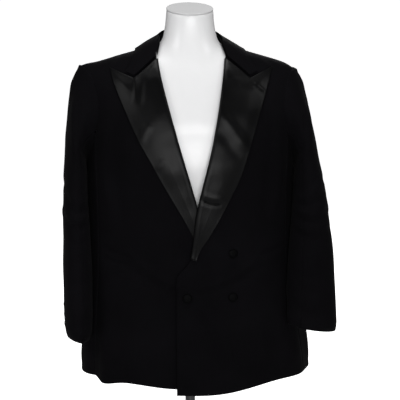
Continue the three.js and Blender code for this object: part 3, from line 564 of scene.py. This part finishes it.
def tone_group():
    """Slow change of a surface's tone, with fine fibres or grain, and its wear on raised edges."""
    found = bpy.data.node_groups.get("Surface tone")
    if found:
        return found
    tree, given, result = start_group(
        "Surface tone",
        [
            ("Dark", "NodeSocketColor", (0, 0, 0, 1)),
            ("Light", "NodeSocketColor", (0.1, 0.1, 0.1, 1)),
            ("Patch size", "NodeSocketFloat", 9.0),
            ("Grain size", "NodeSocketFloat", 900.0),
            ("Grain share", "NodeSocketFloat", 0.4),
            ("Edge wear", "NodeSocketFloat", 0.2),
        ],
        [("Color", "NodeSocketColor"), ("Tone", "NodeSocketFloat"), ("Edge", "NodeSocketFloat")],
    )
    place = tree.nodes.new("ShaderNodeTexCoord")
    patches, grain = (group_node(tree, "ShaderNodeTexNoise") for _ in range(2))
    for node, socket, detail in ((patches, "Patch size", 3), (grain, "Grain size", 2)):
        tree.links.new(place.outputs["Object"], node.inputs["Vector"])
        tree.links.new(given[socket], node.inputs["Scale"])
        node.inputs["Detail"].default_value = detail
    body = group_node(tree, "ShaderNodeMix", data_type="FLOAT")
    tree.links.new(given["Grain share"], body.inputs[0])
    tree.links.new(patches.outputs["Fac"], body.inputs[2])
    tree.links.new(grain.outputs["Fac"], body.inputs[3])
    shape = tree.nodes.new("ShaderNodeNewGeometry")
    edge = group_node(tree, "ShaderNodeMapRange")
    edge.inputs["From Min"].default_value = 0.52
    edge.inputs["From Max"].default_value = 0.62
    tree.links.new(shape.outputs["Pointiness"], edge.inputs["Value"])
    worn = maths(tree, "MULTIPLY", edge.outputs["Result"], given["Edge wear"])
    spread = group_node(tree, "ShaderNodeMapRange")
    spread.inputs["From Min"].default_value = 0.3
    spread.inputs["From Max"].default_value = 0.7
    tree.links.new(body.outputs[0], spread.inputs["Value"])
    tone = maths(tree, "MAXIMUM", spread.outputs["Result"], worn)
    colour = group_node(tree, "ShaderNodeMix", data_type="RGBA")
    tree.links.new(tone, colour.inputs[0])
    tree.links.new(given["Dark"], colour.inputs[6])
    tree.links.new(given["Light"], colour.inputs[7])
    tree.links.new(colour.outputs[2], result["Color"])
    tree.links.new(tone, result["Tone"])
    tree.links.new(worn, result["Edge"])
    return tree


def placed(tree, group, **values):
    """A shared node group in a material, with its own values."""
    node = group_node(tree, "ShaderNodeGroup", node_tree=group)
    for key, value in values.items():
        node.inputs[key.replace("_", " ")].default_value = value
    return node


def start_material(name, dark, light, rough, relief, weave=None, tone=None, **sockets):
    """A material from the shared groups: tone to colour, thread to roughness, height to bump."""
    found = bpy.data.materials.get(name)
    if found:
        return found
    material = bpy.data.materials.new(name)
    material.use_nodes = True
    tree = material.node_tree
    shader = tree.nodes["Principled BSDF"]
    for key, value in sockets.items():
        shader.inputs[key.replace("_", " ")].default_value = value
    shade = placed(tree, tone_group(), Dark=(*dark, 1), Light=(*light, 1), **(tone or {}))
    bump = group_node(tree, "ShaderNodeBump")
    bump.inputs["Strength"].default_value = relief[0]
    bump.inputs["Distance"].default_value = relief[1]
    if weave:
        threads = placed(tree, weave_group(), **weave)
        height, thread = threads.outputs["Height"], threads.outputs["Thread"]
        colour = group_node(tree, "ShaderNodeMix", data_type="RGBA", blend_type="MULTIPLY")
        colour.inputs[0].default_value = 0.45
        tree.links.new(shade.outputs["Color"], colour.inputs[6])
        tree.links.new(thread, colour.inputs[7])
        tree.links.new(colour.outputs[2], shader.inputs["Base Color"])
    else:
        height = thread = shade.outputs["Tone"]
        tree.links.new(shade.outputs["Color"], shader.inputs["Base Color"])
    roughness = group_node(tree, "ShaderNodeMapRange")
    roughness.inputs["To Min"].default_value, roughness.inputs["To Max"].default_value = rough
    tree.links.new(thread, roughness.inputs["Value"])
    tree.links.new(roughness.outputs["Result"], shader.inputs["Roughness"])
    tree.links.new(height, bump.inputs["Height"])
    tree.links.new(bump.outputs["Normal"], shader.inputs["Normal"])
    return material


def settings():
    return bpy.context.scene.jacket_settings


def scaled(colour, factor):
    return tuple(part * factor for part in colour)


def wool():
    colour = tuple(settings().wool_colour)
    return start_material(
        "Black barathea wool", scaled(colour, 0.7), scaled(colour, 1.5), (0.82, 0.97), (0.35, 0.0004),
        weave={"Pitch": 0.0011, "Diagonal": 0.55, "Slub": 1.4},
        tone={"Patch_size": 7.0, "Grain_size": 1400.0, "Grain_share": 0.35, "Edge_wear": 0.1},
        Specular_IOR_Level=0.03, Sheen_Weight=0.006, Sheen_Roughness=0.4,
    )


def lining():
    colour = tuple(settings().wool_colour)
    return start_material(
        "Black twill lining", scaled(colour, 0.9), scaled(colour, 2.2), (0.34, 0.5), (0.2, 0.0002),
        weave={"Pitch": 0.0007, "Diagonal": 0.9, "Slub": 0.8},
        tone={"Patch_size": 12.0, "Grain_size": 1200.0, "Grain_share": 0.3, "Edge_wear": 0.05},
        Specular_IOR_Level=0.2,
    )


def satin():
    colour = tuple(settings().satin_colour)
    return start_material(
        "Black silk satin", scaled(colour, 0.7), scaled(colour, 1.4), (0.3, 0.4), (0.12, 0.0002),
        weave={"Pitch": 0.0006, "Diagonal": 0.2, "Slub": 2.0},
        tone={"Patch_size": 14.0, "Grain_size": 900.0, "Grain_share": 0.3, "Edge_wear": 0.1},
        Specular_IOR_Level=0.095, Anisotropic=0.4,
    )


def button_satin():
    colour = tuple(settings().satin_colour)
    return start_material(
        "Black covered-button satin", scaled(colour, 0.5), scaled(colour, 1.2), (0.42, 0.55), (0.2, 0.0002),
        weave={"Pitch": 0.0006, "Diagonal": 0.3, "Slub": 1.6},
        tone={"Patch_size": 60.0, "Grain_size": 1400.0, "Grain_share": 0.4, "Edge_wear": 0.2},
        Specular_IOR_Level=0.02,
    )


def thread_silk():
    colour = tuple(settings().satin_colour)
    return start_material(
        "Black buttonhole silk", scaled(colour, 0.8), scaled(colour, 2.0), (0.4, 0.6), (0.3, 0.0002),
        tone={"Patch_size": 60.0, "Grain_size": 2500.0, "Grain_share": 0.6, "Edge_wear": 0.3},
        Specular_IOR_Level=0.06,
    )


def form_plastic():
    colour = tuple(settings().form_colour)
    return start_material(
        "White gloss moulded plastic", scaled(colour, 0.965), colour, (0.28, 0.38), (0.05, 0.0004),
        tone={"Patch_size": 5.0, "Grain_size": 160.0, "Grain_share": 0.25, "Edge_wear": 0.1},
        Specular_IOR_Level=0.4, Coat_Weight=0.12, Coat_Roughness=0.15,
    )


def cap_plastic_painted_shade():
    # Painted shade: the lid takes the form's colour darkened to 0.74, standing for the shade on its flat
    # upward-facing top; its matt finish is real
    colour = scaled(tuple(settings().form_colour), 0.74)
    return start_material(
        "Matt neck cap with painted shade", scaled(colour, 0.95), colour, (0.8, 0.95), (0.08, 0.0003),
        tone={"Patch_size": 9.0, "Grain_size": 500.0, "Grain_share": 0.35, "Edge_wear": 0.1},
        Specular_IOR_Level=0.0,
    )


def stand_paint():
    return start_material(
        "Black powder-coated steel", (0.012, 0.012, 0.013), (0.05, 0.05, 0.052), (0.35, 0.55), (0.25, 0.0003),
        tone={"Patch_size": 6.0, "Grain_size": 1500.0, "Grain_share": 0.5, "Edge_wear": 0.7},
        Specular_IOR_Level=0.5,
    )


def closed_up(points, neighbours):
    """Brings the rim of a piece up against the pieces it is sewn to, with a slight lap."""
    tree = tree_of(*neighbours)
    moved = points.copy()
    for k, point in enumerate(points):
        hit, _, _, gap = tree.find_nearest(point, SEAM_REACH)
        if hit is not None and gap > 0.01 * MM:
            moved[k] += (np.array(hit) - point) * (1 + SEAM_LAP / gap) * (1 - gap / SEAM_REACH) ** 2
    return moved


def body_piece(name, levels, neighbours):
    """One panel of the trunk, sewn to its neighbours, with its creases and its lining."""
    mesh = subdivided(cad_mesh(name), levels, name)
    seams = rim_tree(neighbours)
    points = closed_up(points_of(mesh), neighbours)
    dip = -0.8 * MM * bell(near(seams, points, 0.02), SEAM_WIDTH)
    put_points(mesh, points + body_out(points) * (body_height(points) + dip)[:, None] + shoulder_line(points))
    finish_shading(mesh)
    line_inside(mesh, body_out, points[:, 2].min() + HEM_TURN)
    piece = new_piece("cloth_" + name, mesh, [wool(), lining()], [name])


def fronts():
    """The two fronts, the left one lapping over the right."""
    body_piece("front_right", 3, ["side_right", "back_right"])
    body_piece("front_left", 3, ["side_left", "back_left"])


def back_and_sides():
    """The back with its middle seam, and the underarm panels."""
    for side, other in (("left", "right"), ("right", "left")):
        body_piece("back_" + side, 3, ["side_" + side, "back_" + other, "front_" + side])
        body_piece("side_" + side, 2, ["front_" + side, "back_" + side])


def lapels():
    """The satin lapels, turned back from the roll, with the working buttonhole."""
    creases = lay_creases(tree_of("lapel_left", "lapel_right"), LAPEL_CREASES)
    for side in ("left", "right"):
        name = "lapel_" + side
        mesh = subdivided(cad_mesh(name), 3, name)
        points = points_of(mesh)
        belly = 1.0 - bell(near(rim_tree([name]), points, 0.05), 0.02)
        swell = soft_noise(points, 0.045, 1.1 * MM, 3) * belly
        height = body_height(points) + crease_field(points, creases) + 1.9 * MM * belly + swell
        put_points(mesh, points + body_out(points) * height[:, None])
        finish_shading(mesh)
        piece = new_piece("cloth_" + name, mesh, satin(), [name])


def collar():
    """The collar's leaf falling over its stand."""
    for name, levels in (("collar_stand", 2), ("collar_leaf", 3)):
        mesh = subdivided(cad_mesh(name), levels, name)
        points = points_of(mesh)
        lift = body_height(points) * 0.6
        if name == "collar_leaf":
            lift += 1.2 * MM * (1 - bell(near(rim_tree([name]), points, 0.03), 0.014))
        moved = points + body_out(points) * lift[:, None]
        shoulder = bell(np.abs(points[:, 0]) - 0.092, 0.026) * bell(points[:, 1] - 0.008, 0.05)
        moved[:, 2] += shoulder * np.where(points[:, 0] < 0, 4.8, 1.8) * MM
        put_points(mesh, moved)
        finish_shading(mesh)
        piece = new_piece("cloth_" + name, mesh, wool(), [name])


def sleeves():
    """The two-piece sleeves, closed against the armholes, with the bend of the elbow."""
    for side in ("left", "right"):
        axis = sleeve_axis(side)
        creases = lay_creases(tree_of(*SLEEVES[side]), SLEEVE_CREASES[side])
        armhole = rim_tree([f"front_{side}", f"back_{side}", f"side_{side}"])
        for name, other in zip(SLEEVES[side], reversed(SLEEVES[side])):
            mesh = subdivided(cad_mesh(name), 3, name)
            points = closed_up(points_of(mesh), [other])
            high = np.clip((points[:, 2] - 0.6) / 0.04, 0, 1)
            head = near(armhole, points, 0.04)
            rope = (3.4 * bell(head, 0.006) + 1.6 * bell(head - 0.012, 0.009)) * high * MM
            seam = -0.9 * MM * bell(near(rim_tree([other]), points, 0.02), SEAM_WIDTH) * (head > 0.012)
            swell = soft_noise(points, 0.07, 2.2 * MM, 5) * np.clip(head / 0.04, 0, 1)
            folds = CREASE_GAIN * crease_field(points, creases) * np.clip(head / 0.03, 0, 1)
            height = folds + rope + seam + swell
            moved = points + sleeve_out(points, axis) * height[:, None] + shoulder_line(points)
            put_points(mesh, moved + sleeve_line(points, axis, side))
            finish_shading(mesh)
            line_inside(mesh, lambda middles: sleeve_out(middles, axis), points[:, 2].min() + CUFF_HEM)
            piece = new_piece("cloth_" + name, mesh, [wool(), lining()], [name])


def lathe(name, profile, segments, place=None):
    """A turned shape about +Z: a list of radius and height, closed on the axis."""
    bm = bmesh.new()
    rings = []
    for radius, height in profile:
        if radius < 1e-7:
            rings.append([bm.verts.new((0, 0, height))])
            continue
        turns = [2 * math.pi * k / segments for k in range(segments)]
        rings.append([bm.verts.new((radius * math.cos(t), radius * math.sin(t), height)) for t in turns])
    for low, high in zip(rings, rings[1:]):
        for k in range(segments):
            n = (k + 1) % segments
            if len(low) == 1:
                bm.faces.new((low[0], high[n], high[k]))
            elif len(high) == 1:
                bm.faces.new((low[k], low[n], high[0]))
            else:
                bm.faces.new((low[k], low[n], high[n], high[k]))
    bmesh.ops.recalc_face_normals(bm, faces=bm.faces)
    if place is not None:
        bm.transform(place)
    mesh = bpy.data.meshes.new(name)
    bm.to_mesh(mesh)
    bm.free()
    finish_shading(mesh)
    return mesh


def rounded(corners, radius, steps=5):
    """A profile with each inner corner rounded."""
    out = [corners[0]]
    for before, corner, after in zip(corners, corners[1:], corners[2:]):
        b, c, a = Vector(before), Vector(corner), Vector(after)
        r = min(radius, (b - c).length * 0.45, (a - c).length * 0.45)
        start, end = c + (b - c).normalized() * r, c + (a - c).normalized() * r
        for k in range(steps + 1):
            t = k / steps
            out.append(tuple(start.lerp(c, t).lerp(c.lerp(end, t), t)))
    return out + [corners[-1]]


def buttons():
    """Satin-covered buttons: three on the front and three on each cuff."""
    names = ["button_show", "button_fastened", "button_partner"]
    names += [f"cuff_button_{side}_{k}" for side in ("left", "right") for k in (1, 2, 3)]
    axes = {side: sleeve_axis(side) for side in ("left", "right")}
    for name in names:
        points = points_of(NODES[name].data)
        middle = (points.min(0) + points.max(0)) / 2
        up = Vector(np.linalg.eigh(np.cov((points - points.mean(0)).T))[1][:, 0])
        cuff = name.startswith("cuff")
        side = "left" if "left" in name else "right"
        out = sleeve_out(middle[None], axes[side])[0] if cuff else body_out(middle[None])[0]
        if up.dot(Vector(out)) < 0:
            up.negate()
        along = (points - middle) @ np.array(up)
        radius = float(np.linalg.norm(points - middle - np.outer(along, up), axis=1).max())
        low, tall = float(along.min()), float(np.ptp(along))
        profile = [(width * radius, low + rise * tall) for width, rise in BUTTON_PROFILE]
        push = 0.0 if cuff else float(body_height(middle[None])[0])
        turn = up.to_track_quat("Z", "Y").to_matrix().to_4x4()
        place = Matrix.Translation(Vector(middle) + up * push) @ turn
        mesh = lathe(name, rounded(profile, radius * 0.14, 3), 48, place)
        new_piece("covered_" + name, mesh, button_satin(), [name])


def stitch(bm, seat, normal, ahead, across, sway):
    """One bowed stitch, from the slit outwards."""
    turns = [2 * math.pi * k / STITCH_CORNERS for k in range(STITCH_CORNERS)]
    rings = []
    for step in range(STITCH_RINGS):
        t = step / (STITCH_RINGS - 1)
        bow = math.sin(math.pi * t) ** 0.6
        middle = seat + across * (0.35 + 1.9 * t) * MM + normal * (0.12 + 0.5 * bow) * MM + ahead * sway * t
        radius = (0.2 + 0.16 * bow) * MM
        corners = [middle + (ahead * math.cos(turn) + normal * math.sin(turn)) * radius for turn in turns]
        rings.append([bm.verts.new(corner) for corner in corners])
    for low, high in zip(rings, rings[1:]):
        for k in range(STITCH_CORNERS):
            n = (k + 1) % STITCH_CORNERS
            bm.faces.new((low[k], low[n], high[n], high[k]))
    bm.faces.new(rings[0][::-1])
    bm.faces.new(rings[-1])


def buttonhole():
    """The worked buttonhole in the left lapel: a slit between two rows of close stitches."""
    cloth = bpy.data.objects["cloth_lapel_left"]
    places = [vertex.co for vertex in cloth.data.vertices]
    tree = BVHTree.FromPolygons(places, [face.vertices for face in cloth.data.polygons])
    bm = bmesh.new()
    seats = []
    for p in path_through([(u, v, 0) for u, v in BUTTONHOLE], STITCHES):
        hit, normal, _, _ = tree.ray_cast(Vector((p.x * MM, -0.6, p.y * MM)), Vector((0, 1, 0)))
        seats.append((hit, normal if normal.y < 0 else -normal))
    for k, (seat, normal) in enumerate(seats):
        ahead = seats[min(k + 1, len(seats) - 1)][0] - seats[max(k - 1, 0)][0]
        across = ahead.cross(normal).normalized()
        for hand in (-1, 1):
            sway = 0.12 * MM * math.sin(k * 2.3 + hand)
            stitch(bm, seat, normal, ahead.normalized(), across * hand, sway)
    bmesh.ops.recalc_face_normals(bm, faces=bm.faces)
    mesh = bpy.data.meshes.new("buttonhole")
    bm.to_mesh(mesh)
    bm.free()
    mesh.shade_smooth()
    new_piece("buttonhole_stitches", mesh, thread_silk(), [])


def relaxed(mesh, points):
    """Smooths the form's points, the cut of the neck least and its foot longest."""
    edges = np.empty(len(mesh.edges) * 2, np.int32)
    mesh.edges.foreach_get("vertices", edges)
    a, b = edges.reshape(-1, 2).T
    count = len(points)
    links = np.bincount(a, minlength=count) + np.bincount(b, minlength=count)
    below_cut = CAP_HEIGHT + CAP_SLANT * points[:, 1] - points[:, 2]
    loose = np.clip((below_cut - 0.004) / 0.02, 0.12, 1)
    foot = bell(points[:, 2] - NECK_FOOT, NECK_FOOT_SPREAD)
    for step in range(ROUNDS_IN_ALL):
        total = np.zeros_like(points)
        for k in range(3):
            total[:, k] = np.bincount(a, points[b, k], count) + np.bincount(b, points[a, k], count)
        pull = 0.5 * loose * (1.0 if step < ROUNDS_ALL_OVER else foot)
        points = points + (total / links[:, None] - points) * pull[:, None]
    return points


def form_inset(points):
    """How far the chest's line, the breastbone and the hollows of the cloth press into the form."""
    front = np.clip(-points[:, 1] / 0.06, 0, 1)
    line = 0.722 + 0.006 * bell(points[:, 0], 0.02)
    below = np.clip((line - points[:, 2]) / 0.034 + 0.5, 0, 1)
    below = below * below * (3 - 2 * below) * np.clip((points[:, 2] - 0.56) / 0.14, 0, 1)
    breastbone = bell(points[:, 0], 0.012) * bell(points[:, 2] - 0.78, 0.05)
    inset = front * (1.7 * MM * below + 0.6 * MM * breastbone)
    return inset + np.maximum(-CREASE_GAIN * crease_field(points, body_laid), 0)


def dress_form():
    """The limbless moulded form, smooth all over, with its slanted flat neck."""
    mesh = subdivided(cad_mesh("form_torso"), 2, "form")
    holder = bpy.data.objects.new("form_cage", mesh)
    bpy.context.scene.collection.objects.link(holder)
    skin = holder.modifiers.new("skin", "REMESH")
    skin.mode = "VOXEL"
    skin.voxel_size = SKIN_VOXEL
    bpy.context.view_layer.update()
    fine = bpy.data.meshes.new_from_object(holder.evaluated_get(bpy.context.evaluated_depsgraph_get()))
    bpy.data.objects.remove(holder)
    points = relaxed(fine, points_of(fine))
    points += shoulder_line(points) * 1.15 - body_out(points) * form_inset(points)[:, None]
    put_points(fine, points)
    fine.shade_smooth()
    new_piece("form_skin", fine, form_plastic(), ["form_torso"])
    neck_cap()


def neck_cap():
    """The flat slanted lid on the neck, with its fine rounded rim."""
    points = points_of(NODES["form_torso"].data)
    ring = points[points[:, 2] > CAP_HEIGHT + CAP_SLANT * points[:, 1] - 1.5 * MM]
    low, high = ring.min(0), ring.max(0)
    middle, half = (low + high) / 2, (high - low) / 2 + 0.4 * MM
    mesh = lathe("neck_cap", rounded(CAP_PROFILE, 0.02, 3), 96)
    round_points = points_of(mesh)
    shaped = np.empty_like(round_points)
    shaped[:, :2] = middle[:2] + round_points[:, :2] * half[:2]
    shaped[:, 2] = CAP_HEIGHT + CAP_SLANT * shaped[:, 1] + round_points[:, 2] * CAP_UNIT
    put_points(mesh, shaped)
    finish_shading(mesh)
    new_piece("neck_lid", mesh, cap_plastic_painted_shade(), [])


def stand():
    """The pole under the form and the round base plate, with a turned socket."""
    low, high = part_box("stand_base")
    radius, top = high.x, high.z
    profile = [
        (0, 0), (radius - 0.004, 0), (radius, 0.0015), (radius, top - 0.002), (radius - 0.003, top),
        (radius * 0.72, top), (radius * 0.7, top - 0.0008), (radius * 0.68, top), (0, top),
    ]
    plate = lathe("base_plate", rounded(profile, 0.0016), 128)
    new_piece("base_plate", plate, stand_paint(), ["stand_base"])
    low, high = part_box("stand_pole")
    thick = high.x
    profile = [
        (0, low.z), (0.031, low.z), (0.031, low.z + 0.004), (0.02, low.z + 0.007),
        (0.0185, low.z + 0.03), (thick + 0.001, low.z + 0.032), (thick, low.z + 0.034),
        (thick, high.z - 0.016), (thick + 0.006, high.z - 0.015), (thick + 0.006, high.z - 0.003),
        (thick, high.z), (0, high.z),
    ]
    pole = lathe("pole", rounded(profile, 0.0012), 64)
    new_piece("pole", pole, stand_paint(), ["stand_pole"])


def softbox(name, place, target, size, power):
    """A soft rectangular light, aimed at a point."""
    light = bpy.data.lights.new(name, "AREA")
    light.shape = "RECTANGLE"
    light.size, light.size_y = size
    light.energy = power
    holder = bpy.data.objects.new(name, light)
    bpy.context.scene.collection.objects.link(holder)
    holder.location = place
    holder.rotation_euler = (Vector(target) - Vector(place)).to_track_quat("-Z", "Y").to_euler()


def pale_floor():
    """A wide pale floor that glows a little for the camera alone."""
    bm = bmesh.new()
    bmesh.ops.create_circle(bm, cap_ends=True, radius=FLOOR_RADIUS, segments=96)
    mesh = bpy.data.meshes.new("floor")
    bm.to_mesh(mesh)
    bm.free()
    floor = bpy.data.objects.new("floor", mesh)
    bpy.context.scene.collection.objects.link(floor)
    floor.location.z = -0.5 * MM
    colour = tuple(settings().floor_colour)
    material = start_material(
        "Pale studio floor", scaled(colour, 0.98), colour, (0.7, 0.85), (0.02, 0.0005),
        tone={"Patch_size": 1.5, "Grain_size": 300.0, "Grain_share": 0.3, "Edge_wear": 0.0},
        Specular_IOR_Level=0.1,
    )
    tree = material.node_tree
    shader = tree.nodes["Principled BSDF"]
    path = tree.nodes.new("ShaderNodeLightPath")
    shader.inputs["Emission Color"].default_value = (1, 1, 1, 1)
    glow = maths(tree, "MULTIPLY", path.outputs["Is Camera Ray"], settings().floor_glow)
    tree.links.new(glow, shader.inputs["Emission Strength"])
    mesh.materials.append(material)


def room():
    """A white room, dimmer as a light than as a background."""
    world = bpy.data.worlds.new("studio")
    bpy.context.scene.world = world
    world.use_nodes = True
    tree = world.node_tree
    back = tree.nodes["Background"]
    path = tree.nodes.new("ShaderNodeLightPath")
    seen = group_node(tree, "ShaderNodeMix", data_type="FLOAT")
    tree.links.new(path.outputs["Is Camera Ray"], seen.inputs[0])
    seen.inputs[2].default_value = settings().room_light
    seen.inputs[3].default_value = 1.0
    tree.links.new(seen.outputs[0], back.inputs["Strength"])
    back.inputs["Color"].default_value = (1, 1, 1, 1)


def viewpoint():
    """The camera, a little to the left of the middle and looking slightly down."""
    scene = bpy.context.scene
    lens = bpy.data.cameras.new("camera")
    lens.lens = LENS
    lens.sensor_width = SENSOR
    lens.clip_end = 300
    camera = bpy.data.objects.new("camera", lens)
    scene.collection.objects.link(camera)
    across, back = math.sin(CAMERA_TURN), -math.cos(CAMERA_TURN)
    camera.location = (CAMERA_DISTANCE * across, CAMERA_DISTANCE * back, CAMERA_HEIGHT)
    camera.rotation_euler = (Vector(CAMERA_AIM) - camera.location).to_track_quat("-Z", "Y").to_euler()
    scene.camera = camera
    scene.view_settings.view_transform = "Standard"


def studio():
    """The pale floor, the room, the soft lights and the camera."""
    pale_floor()
    room()
    for name, (place, target, size, share) in SOFTBOXES.items():
        softbox(name, place, target, size, settings().key_power * share)
    viewpoint()


class JacketSettings(bpy.types.PropertyGroup):
    wool_colour: FloatVectorProperty(
        name="Wool colour", description="Colour of the barathea wool", subtype="COLOR", size=3, min=0, max=1,
        default=(0.0023, 0.0021, 0.0027),
    )
    satin_colour: FloatVectorProperty(
        name="Satin colour", description="Colour of the satin facings and buttons", subtype="COLOR", size=3,
        min=0, max=1, default=(0.0011, 0.0011, 0.0013),
    )
    form_colour: FloatVectorProperty(
        name="Form colour", description="Colour of the moulded dress form", subtype="COLOR", size=3,
        min=0, max=1, default=(0.625, 0.625, 0.63),
    )
    floor_colour: FloatVectorProperty(
        name="Floor colour", description="Colour of the studio floor", subtype="COLOR", size=3, min=0, max=1,
        default=(0.8, 0.8, 0.8),
    )
    floor_glow: FloatProperty(
        name="Floor glow", description="Light that the floor adds to the picture", default=0.92, min=0, max=2
    )
    room_light: FloatProperty(
        name="Room light", description="Strength of the light from all round", default=0.16, min=0, max=3
    )
    key_power: FloatProperty(
        name="Key light", description="Power of the main soft light", default=66.0, min=0, unit="POWER"
    )


def piece_operator(idname, label, doc, *builders):
    """An operator that runs one or more of the builders."""

    def execute(self, context):
        for builder in builders:
            builder()
        return {"FINISHED"}

    return type(
        "JACKET_OT_" + idname,
        (bpy.types.Operator,),
        {"bl_idname": "jacket." + idname, "bl_label": label, "__doc__": doc, "execute": execute},
    )


OPERATORS = [
    piece_operator("form", "Dress form", "Build the smooth moulded form", dress_form),
    piece_operator("stand", "Stand", "Build the pole and the base plate", stand),
    piece_operator("back", "Back and sides", "Drape the back and the underarm panels", back_and_sides),
    piece_operator("fronts", "Fronts", "Drape the two fronts", fronts),
    piece_operator("lapels", "Lapels", "Fold the satin lapels and work the buttonhole", lapels, buttonhole),
    piece_operator("collar", "Collar", "Fold the collar over its stand", collar),
    piece_operator("sleeves", "Sleeves", "Hang the two-piece sleeves", sleeves),
    piece_operator("buttons", "Buttons", "Set the covered buttons", buttons),
    piece_operator("stage", "Stage", "Set the floor, the lights and the camera", studio),
]


class JACKET_PT_panel(bpy.types.Panel):
    """Lists the jacket's pieces and settings"""

    bl_label = "Dinner jacket"
    bl_idname = "JACKET_PT_panel"
    bl_space_type = "VIEW_3D"
    bl_region_type = "UI"
    bl_category = "Jacket"

    def draw(self, context):
        for name in JacketSettings.__annotations__:
            self.layout.prop(context.scene.jacket_settings, name)
        for operator in OPERATORS:
            self.layout.operator(operator.bl_idname)


CLASSES = [JacketSettings, *OPERATORS, JACKET_PT_panel]


def register():
    for one in CLASSES:
        bpy.utils.register_class(one)
    bpy.types.Scene.jacket_settings = PointerProperty(type=JacketSettings)


def unregister():
    del bpy.types.Scene.jacket_settings
    for one in reversed(CLASSES):
        bpy.utils.unregister_class(one)


def main():
    register()
    for operator in OPERATORS:
        group, name = operator.bl_idname.split(".")
        getattr(getattr(bpy.ops, group), name)()


if __name__ == "__main__":
    main()
